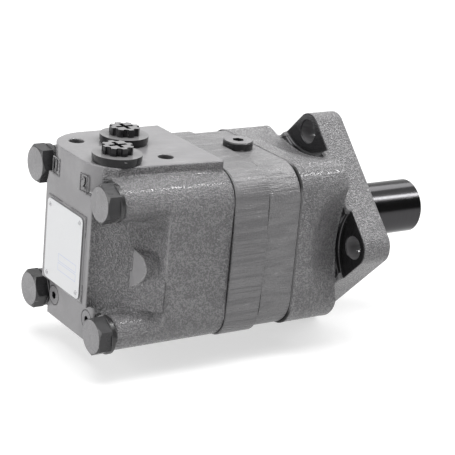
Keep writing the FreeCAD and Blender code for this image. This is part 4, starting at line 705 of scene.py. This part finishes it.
def valve_finish(p, normal, share):
    """1 on the pad's top, the rear faces, the bores and the bosses' cut faces; and where joint dirt and painted
    shade sit.
    """
    x, y, z = p.T
    pad = fade(z, PAD_TOP - 0.9 * MM, PAD_TOP - 0.3 * MM)
    rear = fade(-x, -LOWER_REAR - 0.6 * MM, -LOWER_REAR - 0.2 * MM) * fade(-normal[:, 0], 0.6, 0.9)
    bores = 1 - fade(share, 0.0, 0.15)
    top, face = boss_form(p)
    on_boss = (x > BOSS_FOOT - 1 * MM) & (x < POCKET_STEP)
    on_boss &= (np.abs(y) > core_wall(x) + 0.15 * MM) & (np.abs(y) < WALL_OUT)
    cut = on_boss & (face < top - 0.2 * MM)
    machined = np.maximum.reduce([pad, rear, bores, cut.astype(float)])
    # Joint line, dirt and painted shade in its gap, darker towards the top
    line = seam_dirt_and_shade(p, GEROLER_REAR, 0.55 * MM) * (0.35 + 0.65 * fade(z, -30 * MM, 10 * MM))
    spot_face, under_washer, plug_edge = 12.5 * MM, 9.0 * MM, 5.6 * MM
    # Painted shadow in the spot-face recess round each washer
    round_washer = 1 - away_from(p, SCREWS, (1, 2), spot_face, 0.4 * MM)
    round_washer *= away_from(p, SCREWS, (1, 2), under_washer, 0.5 * MM)
    round_washer *= (x > UPPER_REAR + 0.4 * MM) & (x < LUG_FACE + 0.4 * MM)
    # Darker ring round each check valve plug
    plugs = (1 - away_from(p, CHECK_PLUGS, (1, 2), plug_edge, 0.3 * MM)) * (x < LOWER_REAR + 1.0 * MM)
    return machined, np.maximum.reduce([line, 0.9 * round_washer, plugs])


# Bearing housing

def bearing_share(p):
    """1 on the cast skin, 0 in bores, at the seam and on the front face, and less on the flange."""
    x, y, z = p.T
    ear_hole, screw_bore, screw_depth = 7.6 * MM, 7.0 * MM, 20 * MM
    share = fade(np.hypot(y, z), 39.0 * MM, 40.4 * MM)
    share *= np.where(x > FLANGE_REAR - 0.5 * MM, away_from(p, EARS, (1, 2), ear_hole, 0.6 * MM), 1.0)
    share *= fade(x - BEARING_SEAM, 0.6 * MM, 1.4 * MM)
    share *= 1 - 0.72 * fade(x, FLANGE_REAR + 0.6 * MM, EAR_BACK)
    share *= 1 - fade(x, -0.5 * MM, -0.1 * MM)
    share *= np.where(x < BEARING_SEAM + screw_depth, away_from(p, SCREWS, (1, 2), screw_bore), 1.0)
    return share


def scoop_blend(p):
    """1 over the scoops behind the ears, whose rims run softly into the casting."""
    return fade(p[:, 0], -53 * MM, -50 * MM) * (1 - fade(p[:, 0], -25.5 * MM, -22.5 * MM))


def bearing_finish(p, normal, share):
    """1 on the ears' backs, the wall beside them, the front face and the bores; and the joint dirt and painted
    shade at the joint's corners.
    """
    x, y, z = p.T
    ear_back = (np.abs(x - EAR_BACK) < 0.35 * MM) & (normal[:, 0] < -0.7)
    wall = (x > FLANGE_REAR - 0.2 * MM) & (x < EAR_BACK + 0.1 * MM) & (np.hypot(y, z) < 49 * MM)
    front = x > -0.4 * MM
    bores = share < 0.02
    # Painted shade at the joint's corners, where the bearing housing's rear face stands proud
    corner = fade(np.minimum(np.abs(y), np.abs(z)), 33 * MM, 38 * MM)
    return (ear_back | wall | front | bores).astype(float), seam_dirt_and_shade(p, BEARING_SEAM, 0.9 * MM) * corner


# Port marks

def digit_mesh(digit, height, extrude, bevel, where):
    """A raised digit on a face that looks along -X."""
    text = bpy.data.curves.new("digit", "FONT")
    text.body = digit
    text.size = height
    text.extrude = extrude
    text.bevel_depth = bevel
    text.bevel_resolution = 2
    text.align_x = "CENTER"
    text.align_y = "CENTER"
    mesh = mesh_of(new_object("digit", text))
    mesh.transform(Matrix.Translation(where) @ Matrix(((0, 0, -1), (-1, 0, 0), (0, 1, 0))).to_4x4())
    return mesh


def port_mark(name, y, z, digit):
    """Raised frame with a plain digit, cast on the rear face beside its port."""
    half_y, half_z, rail, proud = 3.9 * MM, 5.0 * MM, 0.75 * MM, 0.45 * MM
    edge, sunk = 0.12 * MM, 0.05 * MM
    mesh = digit_mesh(digit, 8.6 * MM, proud / 2, edge, (UPPER_REAR - proud / 2 + edge, y, z))
    body = bmesh.new()
    body.from_mesh(mesh)
    rings = []
    for inset, height in ((0.0, 0.0), (edge, proud), (rail - edge, proud), (rail, 0.0)):
        x = UPPER_REAR - height + sunk
        rings.append([body.verts.new((x, y + side * (half_y - inset), z + up * (half_z - inset)))
                      for side, up in ((-1, -1), (1, -1), (1, 1), (-1, 1))])
    for a, b in zip(rings, rings[1:] + rings[:1]):
        for i in range(4):
            body.faces.new((a[i], a[(i + 1) % 4], b[(i + 1) % 4], b[i]))
    bmesh.ops.recalc_face_normals(body, faces=body.faces)
    body.to_mesh(mesh)
    body.free()
    mesh.materials.clear()
    piece = new_object(name, mesh)
    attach(piece, "housing")
    return piece


# Camera, floor and lights

CAMERA_PLACE = (-0.569201, -0.724610, 0.301094)
CAMERA_RIGHT = (0.8362022, -0.5413849, 0.0875690)
CAMERA_UP = (0.1069903, 0.3176465, 0.9421538)
CAMERA_AHEAD = (0.5378838, 0.7784620, -0.3235396)
SENSOR = 36.0
# Focal length as a share of the picture's width
FOCAL = 1625.478 / 455

# Name, place, width, height and power of each softbox; all look at the middle of the stack
STACK_MIDDLE = (-0.07, 0.0, 0.0)
SOFTBOXES = (
    ("softbox_above", (-0.25, 0.0, 1.3), 1.1, 1.1, 19.0),
    ("softbox_rear", (-1.35, 0.1, 0.35), 0.8, 0.8, 9.2),
    ("softbox_strip", (0.74, -0.41, 1.13), 0.18, 1.1, 12.5),
    ("softbox_front", (0.84, 0.53, 1.0), 0.5, 0.5, 3.2),
)
WORLD_FILL = 0.16
FLOOR_REACH = 6.0
FLOOR_GAP = 0.2 * MM
WHITE = (1.0, 1.0, 1.0, 1.0)


def camera():
    data = bpy.data.cameras.new("camera")
    data.sensor_width = SENSOR
    data.lens = FOCAL * SENSOR
    data.clip_end = 50.0
    turn = Matrix((CAMERA_RIGHT, CAMERA_UP, -Vector(CAMERA_AHEAD))).transposed().to_4x4()
    obj = new_object("camera", data)
    obj.matrix_world = Matrix.Translation(CAMERA_PLACE) @ turn
    bpy.context.scene.camera = obj


def softbox(name, place_at, width, height, power):
    data = bpy.data.lights.new(name, "AREA")
    data.shape = "RECTANGLE"
    data.size = width
    data.size_y = height
    data.energy = power
    obj = new_object(name, data)
    obj.location = place_at
    obj.rotation_euler = (Vector(STACK_MIDDLE) - Vector(place_at)).to_track_quat("-Z", "Y").to_euler()


def sheet(name, corners, material):
    """A flat sheet of the set, which isn't part of the object."""
    mesh = bpy.data.meshes.new(name)
    mesh.from_pydata(corners, [], [(0, 1, 2, 3)])
    mesh.materials.append(material)
    return new_object(name, mesh)


def near_flag():
    """Grey upright card beside the set that only polished surfaces see."""
    material, tree, shader, where = begin("near_flag_cloth")
    weave = noise(tree, where, 400.0, 2.0)
    grey = mix_colour(tree, weave, (0.2, 0.2, 0.2, 1.0), (0.24, 0.24, 0.24, 1.0))
    finish(tree, shader, Base_Color=grey, Roughness=0.9)
    left, right, low, high = (-1.0, -2.4), (3.0, -1.0), 0.04, 1.75
    obj = sheet("near_flag", [(*left, low), (*right, low), (*right, high), (*left, high)], material)
    obj.visible_camera = False
    obj.visible_diffuse = False
    obj.visible_shadow = False
    obj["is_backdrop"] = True


def seen_directly(tree):
    """1 for the camera and in mirrors and glass, 0 where a surface only lights another."""
    path = tree.nodes.new("ShaderNodeLightPath").outputs
    return larger(tree, path["Is Camera Ray"], larger(tree, path["Is Glossy Ray"], path["Is Transmission Ray"]))


def studio_world():
    """A dim even fill that the camera and shiny surfaces see as white."""
    world = bpy.data.worlds.new("studio")
    bpy.context.scene.world = world
    world.use_nodes = True
    tree = world.node_tree
    background = tree.nodes["Background"]
    strength = weigh(tree, WORLD_FILL, (seen_directly(tree), 1 - WORLD_FILL))
    finish(tree, background, Color=WHITE, Strength=strength)


def floor():
    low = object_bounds()[0][2] - FLOOR_GAP
    material, tree, shader, where = begin("pale_floor")
    grain = noise(tree, where, 30.0)
    pale = mix_colour(tree, grain, (0.44, 0.44, 0.44, 1.0), (0.48, 0.48, 0.48, 1.0))
    finish(tree, shader, Base_Color=pale, Roughness=0.8, Emission_Color=WHITE,
           Emission_Strength=weigh(tree, 0.18, (seen_directly(tree), 0.42)))
    bump(tree, shader, grain, 0.1 * MM)
    r = FLOOR_REACH
    obj = sheet("floor", [(-r, -r, low), (r, -r, low), (r, r, low), (-r, r, low)], material)
    obj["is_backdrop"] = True


# Finishes of the CAD pieces

def coat(names, material):
    for name in names:
        obj = nodes[name]
        obj.data.materials.clear()
        obj.data.materials.append(material)


def soften(names, width, segments=2):
    """Breaks the sharp edges of machined pieces."""
    for name in names:
        bevel = nodes[name].modifiers.new("edge_break", "BEVEL")
        bevel.width = width
        bevel.segments = segments
        bevel.limit_method = "ANGLE"
        bevel.angle_limit = math.radians(35)
        bevel.harden_normals = True


# The painted pieces and the moulded plugs: the pieces of each finish, and how it looks; the side colours are
# painted shade on the faces that stand along the axis
FINE = 0.02 * MM
PAINTED = {
    "painted_ring_plate": (["geroler_ring"], dict(
        along=40.0, across=1300.0, depth=0.8 * MM, streak=0.75, colour=(0.19, 0.187, 0.191, 1.0),
        scratches=1.0)),
    "painted_middle_section": (["intermediate_housing"], dict(
        along=110.0, across=700.0, depth=1.1 * MM, streak=0.5, colour=(0.2, 0.197, 0.201, 1.0))),
    "painted_screw": (["cap_screws", "check_valve_plugs"], dict(
        along=300.0, across=500.0, depth=FINE, streak=0.2, axis=0, side=(0.016, 0.016, 0.017, 1.0),
        reach=6 * MM, shine=0.35)),
    "painted_washer": (["cap_screw_washers"], dict(
        along=300.0, across=500.0, depth=FINE, streak=0.2, axis=0, side=(0.008, 0.008, 0.008, 1.0))),
    "painted_drain_plug": (["drain_plug", "drain_plug_washer"], dict(
        along=300.0, across=300.0, depth=FINE, streak=0.2, axis=2, side=(0.012, 0.012, 0.013, 1.0),
        reach=5 * MM, shine=0.3)),
    "painted_plastic_plug": (["rear_port_plug", "front_port_plug"], dict(
        along=400.0, across=400.0, depth=FINE, streak=0.3, colour=(0.2, 0.197, 0.2, 1.0),
        deep=(0.14, 0.138, 0.141, 1.0), gloss=0.14, axis=2, side=(0.006, 0.006, 0.007, 1.0),
        reach=6 * MM, shine=0.25)),
}
SEALS = ["dust_seal", "shaft_seal", "rear_seal_ring", "middle_seal_ring", "front_seal_ring"]


def coat_pieces():
    """Gives every CAD piece its finish."""
    steel = [n for n in nodes if nodes[n].data.materials[0].name.startswith("ground_steel")]
    rolling = [n for n in steel if "roller" in n or n.endswith(("_cup", "_cone", "_cage", "_ball"))]
    for name, (pieces, look) in PAINTED.items():
        coat(pieces, paint_steel(name, **look))
    coat(["nameplate"], white_plate())
    coat(["output_shaft", "shaft_key"], shaft_steel())
    coat(["nameplate_drive_screws"],
         bare_metal("bright_drive_screw", (0.42, 0.42, 0.43, 1.0), (0.3, 0.3, 0.31, 1.0), 0.3))
    coat(rolling, bare_metal("bearing_steel_inside", (0.56, 0.56, 0.57, 1.0), (0.42, 0.42, 0.43, 1.0), 0.18))
    coat([n for n in steel if n not in rolling],
         bare_metal("ground_steel_inside", (0.5, 0.5, 0.5, 1.0), (0.36, 0.36, 0.37, 1.0), 0.28))
    coat(SEALS, rubber("nitrile_rubber", (0.02, 0.02, 0.021, 1.0), (0.035, 0.035, 0.036, 1.0)))
    coat(["balance_seal"], rubber("seal_plastic_ring", (0.3, 0.19, 0.09, 1.0), (0.24, 0.15, 0.07, 1.0)))


# Putting it together

camera()
for values in SOFTBOXES:
    softbox(*values)
near_flag()
studio_world()
coat_pieces()
casting_paint = paint_casting()
cast_pieces = (
    dress_casting("valve_housing", valve_share, valve_finish, pocket_blend, shape_valve_housing),
    dress_casting("bearing_housing", bearing_share, bearing_finish, scoop_blend),
    port_mark("far_port_mark", MARK_Y, MARK_Z, "1"),
    port_mark("near_port_mark", -MARK_Y, MARK_Z, "2"),
)
for piece in cast_pieces:
    piece.data.materials.append(casting_paint)
soften(["cap_screws"], 0.5 * MM, 3)
soften(["rear_port_plug", "front_port_plug"], 0.6 * MM, 3)
soften(["drain_plug", "check_valve_plugs"], 0.3 * MM)
floor()

bpy.context.scene.view_settings.view_transform = "Standard"
